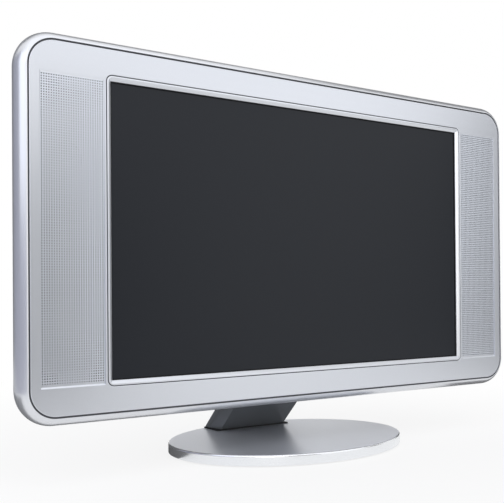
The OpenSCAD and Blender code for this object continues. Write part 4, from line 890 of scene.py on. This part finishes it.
# soft boxes; their slight tints keep the left of the front cool and its foot neutral
lamps = (
    {"name": "rightBox", "place": (0.95, -1.45, 0.6), "aim": (0.0, -0.05, 0.25), "size": (1.2, 1.1),
     "power": 1.3, "colour": "#f0f5ff"},
    {"name": "leftBox", "place": (-1.6, -0.45, 0.95), "aim": (-0.3, -0.1, 0.35), "size": (1.5, 1.0),
     "power": 3.8, "colour": "#d6dfff"},
    {"name": "topBox", "place": (-0.4, -0.85, 1.6), "aim": (-0.15, 0.0, 0.25), "size": (2.4, 2.2),
     "power": 6.5, "colour": "#eef2ff"},
    {"name": "frontBox", "place": (-0.55, -1.5, 0.45), "aim": (0.1, -0.05, 0.15), "size": (0.9, 0.9),
     "power": 2.8, "colour": "#fffaf0"},
    {"name": "rearBox", "place": (0.9, 1.9, 1.2), "aim": (0.0, 0.05, 0.25), "size": (1.4, 1.2),
     "power": 1.5, "colour": "#ffffff"},
)

# Dull woven cloth, seen only in reflections, where it draws the dark sides of the rim and shades the panel.
# A standing flag has two feet on the floor plan, a lower and an upper edge; a lying one has two corners.
flagSets = (
    {"name": "darkFlags", "dark": "#2c2c2c", "light": "#343434",
     "standing": (((-0.35, -1.36), (0.3, -1.36), 0.0, 0.55),
                  ((1.03, -0.7), (2.2, -0.7), 0.0, 0.75),
                  ((-1.0, 1.2), (0.2, 1.3), 0.0, 2.8),
                  ((0.2, 1.3), (0.95, 1.3), 0.46, 3.4),
                  ((0.95, 1.3), (1.8, 1.3), 0.575, 3.4),
                  ((1.8, 1.3), (3.0, 0.8), 0.0, 1.5),
                  ((1.8, 1.3), (1.8, -0.2), 0.9, 2.8)),
     "lying": (((-0.35, -1.36), (-0.02, -0.45)),
               ((0.82, -1.3), (2.2, -0.35)),
               ((-0.6, 0.0), (-0.06, 0.9)),
               ((0.3, -0.05), (1.3, 0.8)))},
    {"name": "navyFlags", "dark": "#7c7e96", "light": "#84869e",
     "standing": (((-1.0, -1.0), (-1.0, 0.1), 0.0, 0.33),
                  ((-1.0, 0.1), (-1.0, 1.2), 0.0, 1.0)),
     "lying": (((-1.0, -1.0), (-0.8, 1.2)),)},
)
flagCloth = {"grainMm": 2.5, "roughness": 0.9, "aboveFloor": 0.002}


# Share that is 1 for what the camera, mirrors and glass see, and 0 for the light that falls on the set
def seenShare(tree):
    path = addNode(tree, "ShaderNodeLightPath")
    glossy = addNode(tree, "ShaderNodeMath", {"operation": "MAXIMUM"},
                     {0: path.outputs["Is Camera Ray"], 1: path.outputs["Is Glossy Ray"]})
    seen = addNode(tree, "ShaderNodeMath", {"operation": "MAXIMUM"},
                   {0: glossy.outputs[0], 1: path.outputs["Is Transmission Ray"]})
    return seen.outputs[0]


def makeFloor(f):
    half = f["size"] / 2
    mesh = bpy.data.meshes.new("studioFloor")
    mesh.from_pydata([(-half, -half, 0), (half, -half, 0), (half, half, 0), (-half, half, 0)], [],
                     [(0, 1, 2, 3)])
    sweep = newObject("studioFloor", mesh)
    material = bpy.data.materials.new("paperSweepWhite")
    material.use_nodes = True
    tree = material.node_tree
    tree.nodes.clear()
    place = addNode(tree, "ShaderNodeTexCoord")
    grain = addNode(tree, "ShaderNodeTexNoise", {"Scale": 1000 / f["grainMm"]},
                    {"Vector": place.outputs["Object"]})
    paper = addNode(tree, "ShaderNodeMix",
                    {"data_type": "RGBA", 6: linear(f["dark"]), 7: linear(f["light"])},
                    {0: grain.outputs["Fac"]})
    lit = addNode(tree, "ShaderNodeBsdfDiffuse", None, {"Color": paper.outputs[2]})
    white = addNode(tree, "ShaderNodeEmission", {"Color": (1, 1, 1, 1), "Strength": 1.0})
    away = addNode(tree, "ShaderNodeVectorMath", {"operation": "LENGTH"}, {0: place.outputs["Object"]})
    share = addNode(tree, "ShaderNodeMapRange",
                    {"interpolation_type": "SMOOTHSTEP", "From Min": f["shadowNear"],
                     "From Max": f["shadowFar"], "To Min": 1 - f["shadowShare"], "To Max": 1.0},
                    {"Value": away.outputs["Value"]})
    amount = addNode(tree, "ShaderNodeMath", {"operation": "MULTIPLY"},
                     {0: share.outputs["Result"], 1: seenShare(tree)})
    both = addNode(tree, "ShaderNodeMixShader", None,
                   {0: amount.outputs[0], 1: lit.outputs[0], 2: white.outputs[0]})
    addNode(tree, "ShaderNodeOutputMaterial", None, {"Surface": both.outputs[0]})
    mesh.materials.append(material)


def makeWorld(strength):  # white to the eye and in reflections, a little dimmer as a light
    world = bpy.data.worlds.new("studioWorld")
    scene.world = world
    world.use_nodes = True
    tree = world.node_tree
    tree.nodes.clear()
    soft = addNode(tree, "ShaderNodeBackground", {"Color": (1, 1, 1, 1), "Strength": strength})
    white = addNode(tree, "ShaderNodeBackground", {"Color": (1, 1, 1, 1), "Strength": 1.0})
    both = addNode(tree, "ShaderNodeMixShader", None,
                   {0: seenShare(tree), 1: soft.outputs[0], 2: white.outputs[0]})
    addNode(tree, "ShaderNodeOutputWorld", None, {"Surface": both.outputs[0]})


def makeLamp(box):
    data = bpy.data.lights.new(box["name"], "AREA")
    data.shape, data.energy = "RECTANGLE", box["power"]
    data.size, data.size_y = box["size"]
    data.color = linear(box["colour"])[:3]
    lamp = newObject(box["name"], data)
    way = Vector(box["aim"]) - Vector(box["place"])
    lamp.matrix_world = Matrix.Translation(box["place"]) @ way.to_track_quat("-Z", "Y").to_matrix().to_4x4()
    lamp.visible_camera = False


def makeFlags(group, cloth):
    points = []
    for (x0, y0), (x1, y1), low, high in group["standing"]:
        points += [(x0, y0, low), (x1, y1, low), (x1, y1, high), (x0, y0, high)]
    z = cloth["aboveFloor"]
    for (x0, y0), (x1, y1) in group["lying"]:
        points += [(x0, y0, z), (x1, y0, z), (x1, y1, z), (x0, y1, z)]
    faces = [tuple(range(k, k + 4)) for k in range(0, len(points), 4)]
    mesh = bpy.data.meshes.new(group["name"])
    mesh.from_pydata(points, [], faces)
    flags = newObject(group["name"], mesh)
    material, tree, shader = newMaterial(group["name"] + "Cloth", {"Roughness": cloth["roughness"]})
    place = addNode(tree, "ShaderNodeTexCoord")
    grain = addNode(tree, "ShaderNodeTexNoise", {"Scale": 1000 / cloth["grainMm"]},
                    {"Vector": place.outputs["Object"]})
    tint = addNode(tree, "ShaderNodeMix",
                   {"data_type": "RGBA", 6: linear(group["dark"]), 7: linear(group["light"])},
                   {0: grain.outputs["Fac"]})
    tree.links.new(tint.outputs[2], shader.inputs["Base Color"])
    mesh.materials.append(material)
    for kind in ("visible_camera", "visible_diffuse", "visible_shadow", "visible_transmission"):
        setattr(flags, kind, False)


makeFloor(floor)
makeWorld(worldLight)
for box in lamps:
    makeLamp(box)
for group in flagSets:
    makeFlags(group, flagCloth)
scene.view_settings.view_transform = "Standard"
print("studio set")
